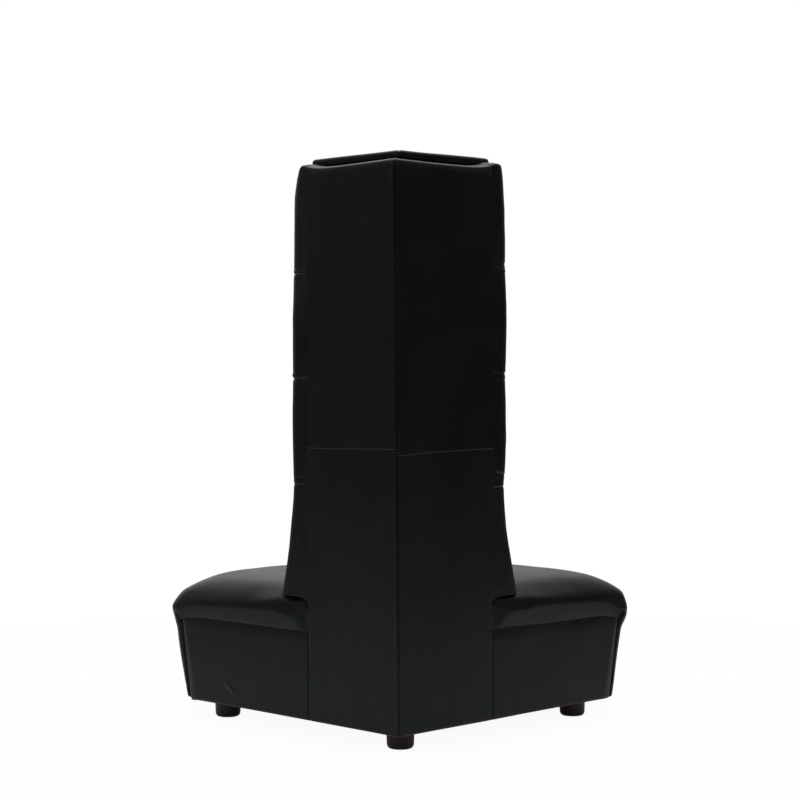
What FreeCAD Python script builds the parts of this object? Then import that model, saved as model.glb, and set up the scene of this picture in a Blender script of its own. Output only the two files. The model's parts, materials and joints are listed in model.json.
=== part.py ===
import FreeCAD, Part
import math
import os
from FreeCAD import Vector

# A high-backed upholstered corner seat: an L-shaped padded back, a square crowned seat and
# four turned feet. Lengths are in millimetres.
# Pieces are drawn in corner coordinates: s runs along one wing from the back corner, p runs
# into the room from that wing's outer plane, z is up. The other wing is the mirror image
# across the diagonal. placed() turns the corner coordinates into the part's own frame.

side = 980.0
total_height = 1600.0
base_bottom = 50.0
seat_seam = 300.0

# leather layers of the outer faces, counted in from the outermost plane
leather = 1.5
face_plane = 1.5
board_plane = 3.0
timber_plane = 5.0
board_margin = 8.0
stitch_board_margin = 20.0
end_seam = 356.0
seam_gap = 1.0
mid_seam = 800.0
mid_lap = 12.0
corner_fold = 16.0
fold_gap = 0.6
roll_height = 29.0
back_top = total_height - roll_height
top_padding = 10.0

# four channels across each wing of the back, the lowest one flared
channel_count = 4
channel_base = 400.0
channel_pitch = (total_height - channel_base) / channel_count
channel_starts = tuple(channel_base + index * channel_pitch for index in range(channel_count))

# timber
stock = 45.0
rail_thickness = 25.0
rail_bottom = 52.0
seat_rail_bottom = 250.0
end_post_start = 311.0
end_post_end = 354.0
block_leg = 170.0

# slanted front facing
front_overhang = 21.0
front_lean = 64.0
front_top = side - front_overhang
front_bottom = front_top - front_lean
front_radius_top = 40.0
front_radius_bottom = 27.0
nose_radius = 30.0
stitch_top = front_top - front_radius_top - 20.0
stitch_bottom = front_bottom - front_radius_bottom - 2.0
front_foam = 14.0
front_board = 9.0
foam_clearance = 0.5

# padded back wings
channel_seams = channel_starts[1:]
channel_bottom = 366.0
slant_start_height = 373.0
slant_end = 475.0
slant_end_height = 408.0
wing_radius = 38.0
wing_notch_end = 424.0
wing_full_end = 431.0
wing_notch_depth = 104.0
wing_full_depth = 124.0
wing_top_end = 405.0
wing_top_depth = 116.0
flare_end = 473.0
flare_depth = 150.0
flare_spread = ((0.0, 1.0), (0.12, 0.94), (0.3, 0.64), (0.5, 0.34), (0.7, 0.13), (1.0, 0.0))
top_bulge = 3.0
channel_shares = (0.0, 0.05, 0.12, 0.22, 0.36, 0.5, 0.64, 0.78, 0.88, 0.95, 1.0)
pad_clearance = 1.0
pad_plane = 53.0
seat_clearance = 1.0

# rounded top roll and the low shoulder beyond its end
roll_back = 58.0
roll_front = 116.0
roll_radius = 15.0
roll_end = 397.0
shoulder_start = 358.0
shoulder_rise = 17.0
shoulder_top = back_top + shoulder_rise
shoulder_back = 2.0
shoulder_front = 108.0
shoulder_radius = 20.0

# crowned seat cushion
seat_edge = 2.0
seat_corner_radius = 55.0
seat_corner_growth = 0.35
seat_notch_depth = 53.0
seat_notch_end = 358.0
seat_foam_bottom = 299.3
seat_thickness = 122.0
crown_run = 0.3265 * side
# across from the cushion's edge as a share of crown_run, height as a share of seat_thickness
seat_profile = (
    (0.016, 0.0),
    (0.005, 0.066),
    (0.0, 0.148),
    (0.0, 0.23),
    (0.009, 0.32),
    (0.031, 0.418),
    (0.066, 0.508),
    (0.109, 0.594),
    (0.169, 0.68),
    (0.244, 0.758),
    (0.344, 0.832),
    (0.469, 0.902),
    (0.625, 0.959),
    (0.812, 0.992),
    (1.0, 1.0),
)

# straps and cloth
strap_width = 50.0
strap_thickness = 1.5
strap_gap = 0.1
rear_strap_centres = (95.0, 195.0, 285.0)
first_front_strap = 400.0
front_strap_count = 5
front_strap_margin = 96.0
hessian_thickness = 0.8
hessian_bottom = 298.3
back_strap_start = 6.0
back_strap_width = 36.0
back_straps_per_bay = 4

# feet and fixings
foot_inset = 82.0
foot_front_position = front_bottom - 95.0
foot_height = 51.0
foot_radius = 38.0
foot_waist_radius = 36.8
foot_bottom_radius = 26.0
foot_round_height = 15.0
foot_hole_bottom = 20.0
bolt_radius = 4.0
bolt_top = 80.0
hole_clearance = 0.3
plate_size = 60.0
plate_thickness = 3.0
boss_radius = 8.0
boss_height = 10.0
plate_screw_offset = 22.0
plate_screw_length = 25.0
plate_screw_radius = 1.8
screw_radius = 2.3
screw_head_radius = 4.5
screw_head_height = 3.0
screw_length = 70.0
screw_stagger = 10.0
coach_bolt_radius = 4.0
coach_head_radius = 9.0
coach_head_height = 3.0
nut_radius = 7.5
nut_height = 6.5
washer_radius = 10.0
washer_thickness = 1.5
dust_cloth_bottom = 51.0
dust_cloth_edge = 6.0

# contrast stitching beside the slanted front seam
thread_pitch = 8.0
thread_length = 5.6
thread_width = 2.4
thread_height = 1.0
thread_margin = 6.0
thread_offset = 2.5

half = side / 2.0
origin = Vector(0, 0, 0)
up = Vector(0, 0, 1)
slope = (front_top - front_bottom) / (seat_seam - base_bottom)
slant_cos = 1.0 / math.hypot(1.0, slope)
frame_top = back_top - top_padding
board_bottom = rail_bottom + board_margin


def box(s0, s1, p0, p1, z0, z1):
    return Part.makeBox(s1 - s0, p1 - p0, z1 - z0, Vector(s0, p0, z0))


def swapped(shape):
    # the same piece on the other wing
    return shape.mirror(origin, Vector(1, -1, 0))


def placed(shape):
    turned = shape.copy()
    turned.rotate(origin, up, 180)
    turned.translate(Vector(half, half, 0))
    return turned


def face_of(points):
    closed = [Vector(*point) for point in points]
    return Part.Face(Part.makePolygon(closed + closed[:1]))


def plan_prism(points, z0, z1):
    return face_of([(s, p, z0) for s, p in points]).extrude(Vector(0, 0, z1 - z0))


def side_prism(points, p0, p1):
    return face_of([(s, p0, z) for s, z in points]).extrude(Vector(0, p1 - p0, 0))


def block_between(low, high, z0, z1):
    # a straight-sided piece between two rectangles at different heights
    rings = []
    for (s0, s1, p0, p1), z in ((low, z0), (high, z1)):
        corners = [(s0, p0, z), (s1, p0, z), (s1, p1, z), (s0, p1, z)]
        points = [Vector(*corner) for corner in corners]
        rings.append(Part.makePolygon(points + points[:1]))
    return Part.makeLoft(rings, True, True)


def wing_half(reach=2000.0):
    # everything on this wing's side of the mitre at the back corner
    low = -50.0
    return plan_prism([(low, low), (reach, low), (reach, reach)], -50.0, 2000.0)


def front_at(z):
    return front_bottom + slope * (z - base_bottom)


def front_layer(z, depth):
    return front_at(z) - depth / slant_cos


def stitch_at(z):
    share = (z - base_bottom) / (seat_seam - base_bottom)
    return stitch_bottom + share * (stitch_top - stitch_bottom)


backing = leather + foam_clearance + front_foam + front_board
base_rail_outer = front_layer(rail_bottom, backing)
base_rail_inner = base_rail_outer - rail_thickness
seat_rail_outer = front_layer(seat_rail_bottom, backing)
seat_rail_inner = seat_rail_outer - rail_thickness
strut_start = (end_seam + base_rail_inner - stock) / 2.0
front_strut_start = base_rail_inner / 2.0
rail_top = rail_bottom + stock
seat_rail_top = seat_rail_bottom + stock
rail_p0 = timber_plane
rail_p1 = timber_plane + rail_thickness
post_p0 = timber_plane
post_p1 = timber_plane + stock


def arc_through(centre, radius, start_angle, end_angle, z):
    points = []
    for angle in (start_angle, (start_angle + end_angle) / 2.0, end_angle):
        turn = math.radians(angle)
        x = centre[0] + radius * math.cos(turn)
        y = centre[1] + radius * math.sin(turn)
        points.append(Vector(x, y, z))
    return Part.Arc(*points).toShape()


def joined(edges):
    # straight runs are added where one edge ends away from the next edge's start
    chain = []
    count = len(edges)
    for index, edge in enumerate(edges):
        chain.append(edge)
        here = edge.lastVertex(True).Point
        there = edges[(index + 1) % count].firstVertex(True).Point
        if here.distanceToPoint(there) > 1e-6:
            chain.append(Part.makeLine(here, there))
    return Part.Wire(chain)


# Timber


def corner_post():
    return box(post_p0, post_p1, post_p0, post_p1, rail_bottom, frame_top)


def end_post():
    upper = box(end_post_start, end_post_end, post_p0, post_p1, seat_rail_top, frame_top)
    lower = box(end_post_start, end_post_end, rail_p1, post_p1, rail_top - 40.0, seat_rail_top)
    return upper.fuse(lower).removeSplitter()


def base_rail():
    return box(post_p1, base_rail_inner, rail_p0, rail_p1, rail_bottom, rail_top)


def seat_rail():
    return box(post_p1, seat_rail_inner, rail_p0, rail_p1, seat_rail_bottom, seat_rail_top)


def front_rail(inner, outer, z0, z1):
    return plan_prism([(inner, rail_p0), (outer, rail_p0), (outer, outer), (inner, inner)], z0, z1)


def side_post():
    low = (base_rail_outer - stock, base_rail_outer, post_p0, post_p1)
    high = (seat_rail_outer - stock, seat_rail_outer, post_p0, post_p1)
    return block_between(low, high, rail_top, seat_rail_bottom)


def nose_post():
    low = (base_rail_outer - stock, base_rail_outer) * 2
    high = (seat_rail_outer - stock, seat_rail_outer) * 2
    return block_between(low, high, rail_top, seat_rail_bottom)


def side_strut():
    return box(strut_start, strut_start + stock, rail_p0, rail_p1, rail_top, seat_rail_bottom)


def front_strut():
    ends = (front_strut_start, front_strut_start + stock)
    low = (base_rail_inner, base_rail_outer) + ends
    high = (seat_rail_inner, seat_rail_outer) + ends
    return block_between(low, high, rail_top, seat_rail_bottom)


def cross_rail(height):
    low = height - stock / 2.0
    return box(post_p1, end_post_start, post_p0, post_p1, low, low + stock)


def top_rail():
    return box(post_p1, end_post_start, post_p0, post_p1, frame_top - stock, frame_top)


def corner_block(s, p, s_way, p_way):
    z0 = rail_bottom + plate_thickness
    corners = [(s, p), (s + s_way * block_leg, p), (s, p + p_way * block_leg)]
    return plan_prism(corners, z0, rail_top)


# Fixings


def foot_positions():
    near = foot_inset
    far = foot_front_position
    return {"corner": (near, near), "right": (far, near), "left": (near, far), "front": (far, far)}


def foot():
    corner = foot_bottom_radius
    bulge = foot_waist_radius
    rise = foot_round_height
    middle = Vector(corner + 0.74 * (bulge - corner), 0, 0.30 * rise)
    edges = [
        Part.makeLine(Vector(0, 0, 0), Vector(corner, 0, 0)),
        Part.Arc(Vector(corner, 0, 0), middle, Vector(bulge, 0, rise)).toShape(),
        Part.makeLine(Vector(bulge, 0, rise), Vector(foot_radius, 0, foot_height)),
        Part.makeLine(Vector(foot_radius, 0, foot_height), Vector(0, 0, foot_height)),
        Part.makeLine(Vector(0, 0, foot_height), Vector(0, 0, 0)),
    ]
    turned = Part.Face(Part.Wire(edges)).revolve(origin, up, 360)
    hole_height = foot_height - foot_hole_bottom
    hole = Part.makeCylinder(bolt_radius + hole_clearance, hole_height, Vector(0, 0, foot_hole_bottom))
    return turned.cut(hole)


def foot_plate():
    reach = plate_size / 2.0
    plate = box(-reach, reach, -reach, reach, rail_bottom, rail_bottom + plate_thickness)
    boss_start = Vector(0, 0, rail_bottom + plate_thickness)
    plate = plate.fuse(Part.makeCylinder(boss_radius, boss_height, boss_start))
    bore_height = plate_thickness + boss_height
    bore = Part.makeCylinder(bolt_radius + hole_clearance, bore_height, Vector(0, 0, rail_bottom))
    return plate.cut(bore)


def foot_bolt():
    return Part.makeCylinder(bolt_radius, bolt_top - foot_hole_bottom, Vector(0, 0, foot_hole_bottom))


def countersunk(start, way, radius, head_radius, head_height, length):
    head = Part.makeCone(head_radius, radius, head_height, start, way)
    shank_start = start + way * head_height
    return head.fuse(Part.makeCylinder(radius, length - head_height, shank_start, way))


def screw(start, way, extra=0.0):
    reach = screw_length + extra
    return countersunk(
        start, way, screw_radius + extra, screw_head_radius + extra, screw_head_height, reach
    )


def plate_screw(s, p, extra=0.0):
    start = Vector(s, p, rail_bottom)
    head = plate_screw_radius * 2.0 + extra
    reach = plate_screw_length + extra
    return countersunk(start, up, plate_screw_radius + extra, head, plate_screw_radius, reach)


def wing_screw_places(stagger):
    # long screws into the ends of the rails, then up and down into the short posts
    along = Vector(1, 0, 0)
    middle = (post_p0 + post_p1) / 2.0
    rail_middle = (rail_p0 + rail_p1) / 2.0
    places = []
    heights = list(channel_starts) + [frame_top - stock / 2.0]
    for height in heights:
        places.append((Vector(post_p0, middle, height + stagger), along))
        places.append((Vector(end_post_end, middle, height + stagger), along * -1))
    for z0 in (rail_bottom, seat_rail_bottom):
        height = z0 + stock / 2.0
        places.append((Vector(post_p0, rail_middle, height + stagger), along))
    for outer, z0 in ((base_rail_outer, rail_bottom), (seat_rail_outer, seat_rail_bottom)):
        places.append((Vector(outer, rail_middle, z0 + stock / 2.0), along * -1))
    for s, p in upright_places():
        places.append((Vector(s[0], p[0], rail_bottom), up))
        places.append((Vector(s[1], p[1], seat_rail_top), up * -1))
    return places


def upright_places():
    # each pair holds the lower and the upper position along s, then along p
    rail_middle = (rail_p0 + rail_p1) / 2.0
    strut_middle = strut_start + stock / 2.0
    front_middle = front_strut_start + stock / 2.0
    low = base_rail_outer - rail_thickness / 2.0
    high = seat_rail_outer - rail_thickness / 2.0
    post_middle = (post_p0 + post_p1) / 2.0 + screw_stagger
    return [
        ((strut_middle, strut_middle), (rail_middle, rail_middle)),
        ((low, high), (front_middle, front_middle)),
        ((low, high), (post_middle, post_middle)),
    ]


def coach_bolt(height, extra=0.0):
    inward = Vector(0, 1, 0)
    s = (end_post_start + end_post_end) / 2.0
    start = Vector(s, rail_p0, height)
    head = Part.makeCylinder(coach_head_radius + extra, coach_head_height + extra, start, inward)
    reach = post_p1 - rail_p0 + washer_thickness + nut_height + 2.0
    shank = Part.makeCylinder(coach_bolt_radius + extra, reach, start, inward)
    if extra:
        return head.fuse(shank)
    washer_start = Vector(s, post_p1, height)
    washer = Part.makeCylinder(washer_radius, washer_thickness, washer_start, inward)
    nut_start = washer_start + inward * washer_thickness
    corners = []
    for index in range(6):
        turn = math.radians(60.0 * index)
        across = Vector(nut_radius * math.cos(turn), 0, nut_radius * math.sin(turn))
        corners.append(nut_start + across)
    nut = Part.Face(Part.makePolygon(corners + corners[:1])).extrude(inward * nut_height)
    return head.fuse([shank, washer, nut]).removeSplitter()


coach_bolt_heights = (rail_bottom + stock * 0.62, seat_rail_bottom + stock * 0.5)


# Boards, straps and cloth


def outer_back_board():
    p0 = board_plane
    p1 = timber_plane
    end = end_seam - board_margin
    corners = [(p0, p0), (end, p0), (end, p1), (p1, p1)]
    return plan_prism(corners, board_bottom, frame_top - board_margin)


def side_board():
    start = end_seam + board_margin
    margin = stitch_board_margin
    corners = [
        (start, board_bottom),
        (stitch_at(board_bottom) - margin, board_bottom),
        (stitch_at(seat_seam) - margin, seat_seam - seam_gap),
        (start, seat_seam - seam_gap),
    ]
    return side_prism(corners, board_plane, timber_plane)


def front_board_piece():
    outer = leather + foam_clearance + front_foam
    z0 = rail_bottom
    z1 = seat_seam - seam_gap
    corners = [
        (front_layer(z0, backing), z0),
        (front_layer(z0, outer), z0),
        (front_layer(z1, outer), z1),
        (front_layer(z1, backing), z1),
    ]
    start = timber_plane + board_plane
    return side_prism(corners, start, side).common(wing_half())


def front_cover_edge(z, inset):
    # from the stitched seam round the back end corner and along the front to the nose
    outer = front_at(z) - inset
    share = (z - base_bottom) / (seat_seam - base_bottom)
    radius = front_radius_bottom + share * (front_radius_top - front_radius_bottom)
    centre = front_at(z) - radius
    edge = face_plane + inset
    nose = front_at(z) - nose_radius
    turn = arc_through((centre, face_plane + radius), radius - inset, -90.0, 0.0, z)
    nose_turn = arc_through((nose, nose), nose_radius - inset, 0.0, 45.0, z)
    start = Part.makeLine(Vector(stitch_at(z), edge, z), Vector(centre, edge, z))
    middle = Part.makeLine(Vector(outer, face_plane + radius, z), Vector(outer, nose, z))
    return [start, turn, middle, nose_turn]


def backwards(edges):
    turned = []
    for edge in reversed(edges):
        if edge.Curve.TypeId == "Part::GeomLine":
            ends = [vertex.Point for vertex in edge.Vertexes]
            turned.append(Part.makeLine(ends[1], ends[0]))
        else:
            low, high = edge.ParameterRange
            points = [edge.valueAt(high), edge.valueAt((low + high) / 2.0), edge.valueAt(low)]
            turned.append(Part.Arc(*points).toShape())
    return turned


def front_cover():
    rings = []
    for z in (base_bottom, seat_seam):
        rings.append(joined(front_cover_edge(z, 0.0) + backwards(front_cover_edge(z, leather))))
    return Part.makeLoft(rings, True, True)


def front_foam_pad():
    rings = []
    z0 = rail_bottom
    z1 = seat_seam - seam_gap
    for z in (z0, z1):
        rings.append(joined(front_cover_edge(z, leather + foam_clearance)[1:]))
    solid = Part.makeLoft(rings, True, True)
    depth = leather + foam_clearance + front_foam
    corners = [
        (0.0, z0 - 1.0),
        (front_layer(z0 - 1.0, depth), z0 - 1.0),
        (front_layer(z1 + 1.0, depth), z1 + 1.0),
        (0.0, z1 + 1.0),
    ]
    return solid.cut(side_prism(corners, -10.0, side + 10.0))


def side_cover():
    s0 = end_seam + seam_gap
    corners = [
        (s0, base_bottom),
        (stitch_bottom, base_bottom),
        (stitch_top, seat_seam),
        (s0, seat_seam),
    ]
    return side_prism(corners, face_plane, face_plane + leather)


def outer_back_upper(folded):
    # the folded panel turns round the back corner and lies over the other wing's panel
    p0 = face_plane
    p1 = board_plane
    if not folded:
        return box(p1, end_seam, p0, p1, mid_seam, frame_top)
    panel = box(p0, end_seam, p0, p1, mid_seam, frame_top)
    fold = box(0.0, leather, p0, corner_fold, mid_seam + mid_lap, frame_top)
    return panel.fuse(fold).removeSplitter()


def outer_back_lower(folded):
    p1 = board_plane
    top = mid_seam + mid_lap
    lap = box(corner_fold + fold_gap, end_seam, 0.0, leather, mid_seam, top)
    if not folded:
        thin = box(p1, end_seam, leather, p1, base_bottom, mid_seam)
        proud = box(corner_fold + fold_gap, end_seam, 0.0, leather, base_bottom, mid_seam)
        return thin.fuse([proud, lap]).removeSplitter()
    panel = box(0.0, end_seam, 0.0, p1, base_bottom, mid_seam)
    fold = box(0.0, leather, 0.0, corner_fold, base_bottom, top)
    lap = box(0.0, end_seam, 0.0, leather, mid_seam, top)
    return panel.fuse([fold, lap]).removeSplitter()


def seat_straps():
    solids = []
    reach = seat_rail_outer - 1.0
    step = (seat_rail_inner - front_strap_margin - first_front_strap) / (front_strap_count - 1)
    centres = list(rear_strap_centres)
    centres += [first_front_strap + index * step for index in range(front_strap_count)]
    for centre in centres:
        start = centre - strap_width / 2.0
        z = seat_rail_top
        low = box(dust_cloth_edge, reach, start, start + strap_width, z, z + strap_thickness)
        solids.append(low)
        high = swapped(low)
        high.translate(Vector(0, 0, strap_thickness + strap_gap))
        solids.append(high)
    return solids


def notched_square(low, high):
    return [
        (seat_notch_end, low),
        (high, low),
        (high, high),
        (low, high),
        (low, seat_notch_end),
        (seat_notch_depth, seat_notch_end),
        (seat_notch_depth, seat_notch_depth),
        (seat_notch_end, seat_notch_depth),
    ]


def hessian():
    plan = notched_square(dust_cloth_edge, seat_rail_outer - 1.0)
    return plan_prism(plan, hessian_bottom, hessian_bottom + hessian_thickness)


def back_wing_straps(first):
    # the two wings take every other place between the rails, so that no two straps cross
    solids = []
    edge = post_p1 + strap_thickness
    rails = [height - stock / 2.0 for height in channel_starts] + [frame_top - stock]
    for rail, above in zip(rails[:-1], rails[1:]):
        low = rail + stock
        step = (above - low) / back_straps_per_bay
        for place in range(first, back_straps_per_bay, 2):
            z = low + (place + 0.5) * step - back_strap_width / 2.0
            top = z + back_strap_width
            solids.append(box(back_strap_start, end_post_end, post_p1, edge, z, top))
    return solids


def dust_cloth():
    reach = base_rail_outer - 1.0
    cloth = box(dust_cloth_edge, reach, dust_cloth_edge, reach, dust_cloth_bottom, rail_bottom)
    for s, p in foot_positions().values():
        start = Vector(s, p, dust_cloth_bottom)
        cloth = cloth.cut(Part.makeCylinder(bolt_radius + hole_clearance, 1.0, start))
    return cloth


def stitch_row():
    solids = []
    rise = seat_seam - base_bottom - 2.0 * thread_margin
    lean = math.atan2(stitch_top - stitch_bottom, seat_seam - base_bottom)
    count = int(rise // thread_pitch) + 1
    for index in range(count):
        z = base_bottom + thread_margin + index * thread_pitch
        width = thread_width / 2.0
        thread = box(-width, width, 0.0, thread_height, 0.0, thread_length)
        thread.rotate(origin, Vector(0, 1, 0), math.degrees(lean))
        s = stitch_at(z) - thread_offset
        thread.translate(Vector(s, face_plane - thread_height, z))
        solids.append(thread)
    return solids


# Seat cushion


def rounded_square(inset, z):
    low = seat_edge + inset
    high = side - inset
    # the corners round off towards the crown, up to nearly a full circle there
    fullest = 0.985 * (high - low) / 2.0
    radius = min(seat_corner_radius + seat_corner_growth * inset, fullest)
    edges = []
    corners = (
        (high - radius, low + radius, -90.0),
        (high - radius, high - radius, 0.0),
        (low + radius, high - radius, 90.0),
        (low + radius, low + radius, 180.0),
    )
    for s, p, angle in corners:
        edges.append(arc_through((s, p), radius, angle, angle + 90.0, z))
    return joined(edges)


def dome(depth, bottom):
    # the cushion's outer form, moved in by depth everywhere above its lower edge
    rings = []
    stations = []
    for across, up in seat_profile:
        stations.append((across * crown_run, seat_seam + up * seat_thickness))
    last = len(stations) - 1
    for index, (inset, z) in enumerate(stations):
        before = stations[max(index - 1, 0)]
        after = stations[min(index + 1, last)]
        across = after[0] - before[0]
        rise = after[1] - before[1]
        run = math.hypot(across, rise)
        inset = inset + depth * rise / run
        z = z - depth * across / run
        rings.append(rounded_square(inset, bottom if index == 0 else z))
    return Part.makeLoft(rings, True, True)


def seat_notches():
    low = box(-60.0, seat_notch_end, -60.0, seat_notch_depth, 0.0, total_height)
    return low.fuse(swapped(low))


def seat_cover():
    shell = dome(0.0, seat_seam).cut(dome(leather, seat_seam))
    return shell.cut(seat_notches())


def seat_foam():
    return dome(leather + pad_clearance, seat_foam_bottom).cut(seat_notches())


# Padded back wings


def wing_outline(z, end, depth, inset):
    rear = face_plane + inset
    end = end - inset
    depth = depth - inset
    radius = wing_radius - inset
    outer = arc_through((end - radius, rear + radius), radius, -90.0, 0.0, z)
    inner = arc_through((end - radius, depth - radius), radius, 0.0, 90.0, z)
    mitre = Part.makeLine(Vector(depth, depth, z), Vector(rear, rear, z))
    return joined([outer, inner, mitre])


def bulge_at(share):
    # zero at the pulled-in seams, quickly full between them
    return 1.0 - abs(2.0 * share - 1.0) ** 3.2


def between(table, share):
    # straight-line reading of a short table of (share, value) pairs
    for (low, first), (high, second) in zip(table[:-1], table[1:]):
        if share <= high:
            return first + (second - first) * (share - low) / (high - low)
    return table[-1][1]


def full_channel(low, high):
    stations = []
    for share in channel_shares:
        bulge = bulge_at(share)
        end = wing_notch_end + bulge * (wing_full_end - wing_notch_end)
        depth = wing_notch_depth + bulge * (wing_full_depth - wing_notch_depth)
        stations.append((low + share * (high - low), end, depth))
    return stations


def flared_channel():
    low = channel_bottom
    high = channel_seams[0]
    stations = []
    for share in channel_shares:
        spread = between(flare_spread, share)
        bulge = bulge_at(max(share, 0.5))
        end = wing_notch_end + bulge * (wing_full_end - wing_notch_end)
        depth = wing_notch_depth + bulge * (wing_full_depth - wing_notch_depth)
        end = end + spread * (flare_end - wing_full_end)
        depth = depth + spread * (flare_depth - wing_full_depth)
        stations.append((low + share * (high - low), end, depth))
    return stations


def top_channel():
    low = channel_seams[-1]
    stations = []
    for share in channel_shares:
        taper = share ** 3.0
        bulge = bulge_at(min(share, 0.5))
        end = wing_notch_end + bulge * top_bulge - taper * (wing_notch_end + top_bulge - wing_top_end)
        depth = wing_notch_depth + bulge * (wing_full_depth - wing_notch_depth)
        depth = depth - taper * (wing_full_depth - wing_top_depth)
        stations.append((low + share * (back_top - low), end, depth))
    return stations


def wing_channels():
    middle = list(zip(channel_seams[:-1], channel_seams[1:]))
    return [flared_channel()] + [full_channel(low, high) for low, high in middle] + [top_channel()]


def channel_solid(stations, inset):
    low = stations[0][0]
    high = stations[-1][0]
    gap = inset if high == back_top else inset / 2.0
    start = low if low == channel_bottom else low + inset / 2.0
    rings = []
    for z, end, depth in stations:
        share = (z - low) / (high - low)
        height = start + share * (high - gap - start)
        rings.append(wing_outline(height, end, depth, inset))
    return Part.makeLoft(rings, True, True)


def below_wings(lift):
    # the space under the slanted lower edge, which rises towards the wing's end
    steep = (slant_end_height - slant_start_height) / (slant_end - end_seam)
    corners = [
        (-60.0, 0.0),
        (600.0, 0.0),
        (600.0, slant_start_height + lift + steep * (600.0 - end_seam)),
        (end_seam, slant_start_height + lift),
        (-60.0, slant_start_height + lift),
    ]
    return side_prism(corners, -60.0, 400.0)


def shoulder(inset, bottom):
    rings = []
    levels = ((bottom, 0.0), (back_top + 5.0, 1.0), (shoulder_top - 4.0, 5.0), (shoulder_top, 13.0))
    for z, draw in levels:
        margin = inset + draw
        s0 = shoulder_start + inset
        s1 = wing_top_end - margin
        p0 = shoulder_back + margin
        p1 = shoulder_front - margin
        radius = shoulder_radius - inset
        height = z if z == bottom else z - inset
        edges = [
            arc_through((s1 - radius, p0 + radius), radius, -90.0, 0.0, height),
            arc_through((s1 - radius, p1 - radius), radius, 0.0, 90.0, height),
            Part.makeLine(Vector(s0, p1, height), Vector(s0, p0, height)),
        ]
        rings.append(joined(edges))
    solid = Part.makeLoft(rings, True, True)
    roll_space = box(0.0, roll_end + 2.0 + inset, roll_back - 1.0 - inset, 200.0, back_top, total_height)
    return solid.cut(roll_space)


def frame_space(top):
    return box(-60.0, end_seam, -60.0, pad_plane, 0.0, top)


def inside_cover():
    outer = None
    inner = None
    for stations in wing_channels():
        whole = channel_solid(stations, 0.0)
        hollow = channel_solid(stations, leather)
        if stations[0][0] == channel_bottom:
            whole = whole.cut(below_wings(0.0)).cut(dome(-seat_clearance, seat_seam))
            lower = -seat_clearance - leather
            hollow = hollow.cut(below_wings(leather)).cut(dome(lower, seat_seam))
        outer = whole if outer is None else outer.fuse(whole)
        inner = hollow if inner is None else inner.fuse(hollow)
    outer = outer.fuse(shoulder(0.0, back_top))
    inner = inner.fuse(shoulder(leather, back_top - leather))
    return outer.cut(inner).cut(frame_space(frame_top))


def wing_pads():
    solids = []
    inset = leather + pad_clearance
    for stations in wing_channels():
        pad = channel_solid(stations, inset)
        if stations[0][0] == channel_bottom:
            pad = pad.cut(below_wings(inset)).cut(dome(-seat_clearance - inset, seat_seam))
        if stations[-1][0] == back_top:
            pad = pad.fuse(shoulder(inset, back_top - inset))
        solids.append(pad.cut(frame_space(frame_top + foam_clearance)).cut(mitre_clearance()))
    return solids


def mitre_clearance():
    # the pads of the two wings stop just short of each other at the back corner
    gap = foam_clearance
    corners = [(-60.0, -60.0 - gap), (400.0, 400.0 - gap), (400.0, 460.0), (-60.0, 460.0)]
    return plan_prism(corners, 0.0, total_height)


def roll_solid(inset):
    back = roll_back + inset
    front = roll_front - inset
    top = total_height - inset
    radius = roll_radius - inset
    end = roll_end - inset
    rear = Part.Arc(
        Vector(0, back, top - radius),
        Vector(0, back + radius * (1.0 - math.sqrt(0.5)), top - radius * (1.0 - math.sqrt(0.5))),
        Vector(0, back + radius, top),
    ).toShape()
    fore = Part.Arc(
        Vector(0, front - radius, top),
        Vector(0, front - radius * (1.0 - math.sqrt(0.5)), top - radius * (1.0 - math.sqrt(0.5))),
        Vector(0, front, top - radius),
    ).toShape()
    base = Part.makeLine(Vector(0, front, back_top), Vector(0, back, back_top))
    section = Part.Face(joined([rear, fore, base]))
    return section.extrude(Vector(end, 0, 0)).common(wing_half())


def roll_cover():
    return roll_solid(0.0).cut(roll_solid(leather))


def roll_foam():
    return roll_solid(leather + foam_clearance).cut(mitre_clearance())


# Assembly


def timber_pieces():
    base_front = front_rail(base_rail_inner, base_rail_outer, rail_bottom, rail_top)
    seat_front = front_rail(seat_rail_inner, seat_rail_outer, seat_rail_bottom, seat_rail_top)
    one_side = {
        "base_rail": [base_rail()],
        "base_rail_front": [base_front],
        "seat_rail": [seat_rail()],
        "seat_rail_front": [seat_front],
        "back_end_post": [end_post()],
        "back_top_rail": [top_rail()],
        "back_cross_rails": [cross_rail(height) for height in channel_starts],
    }
    pieces = {"back_corner_post": [corner_post()]}
    for name, solids in one_side.items():
        pieces[name + "_right"] = solids
        pieces[name + "_left"] = [swapped(solid) for solid in solids]
    pieces["base_posts"] = [side_post(), swapped(side_post()), nose_post()]
    struts = [side_strut(), front_strut()]
    pieces["base_struts"] = struts + [swapped(strut) for strut in struts]
    rear = corner_block(rail_p1, rail_p1, 1, 1)
    rear = rear.cut(box(0.0, post_p1, 0.0, post_p1, 0.0, seat_seam))
    end = corner_block(base_rail_inner, rail_p1, -1, 1)
    nose = corner_block(base_rail_inner, base_rail_inner, -1, -1)
    pieces["corner_blocks"] = [rear, end, swapped(end), nose]
    return pieces


def holes_and_screws():
    holes = []
    screws = []
    for flip, stagger in ((False, screw_stagger), (True, -screw_stagger)):
        for start, way in wing_screw_places(stagger):
            pair = [screw(start, way), screw(start, way, hole_clearance)]
            if flip:
                pair = [swapped(item) for item in pair]
            screws.append(pair[0])
            holes.append(pair[1])
    low = base_rail_outer - stock / 2.0
    high = seat_rail_outer - stock / 2.0
    for s, z, way in ((low, rail_bottom, up), (high, seat_rail_top, up * -1)):
        inner = s + stock / 2.0 - rail_thickness / 2.0
        start = Vector(inner, inner, z)
        screws.append(screw(start, way))
        holes.append(screw(start, way, hole_clearance))
    return holes, screws


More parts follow.
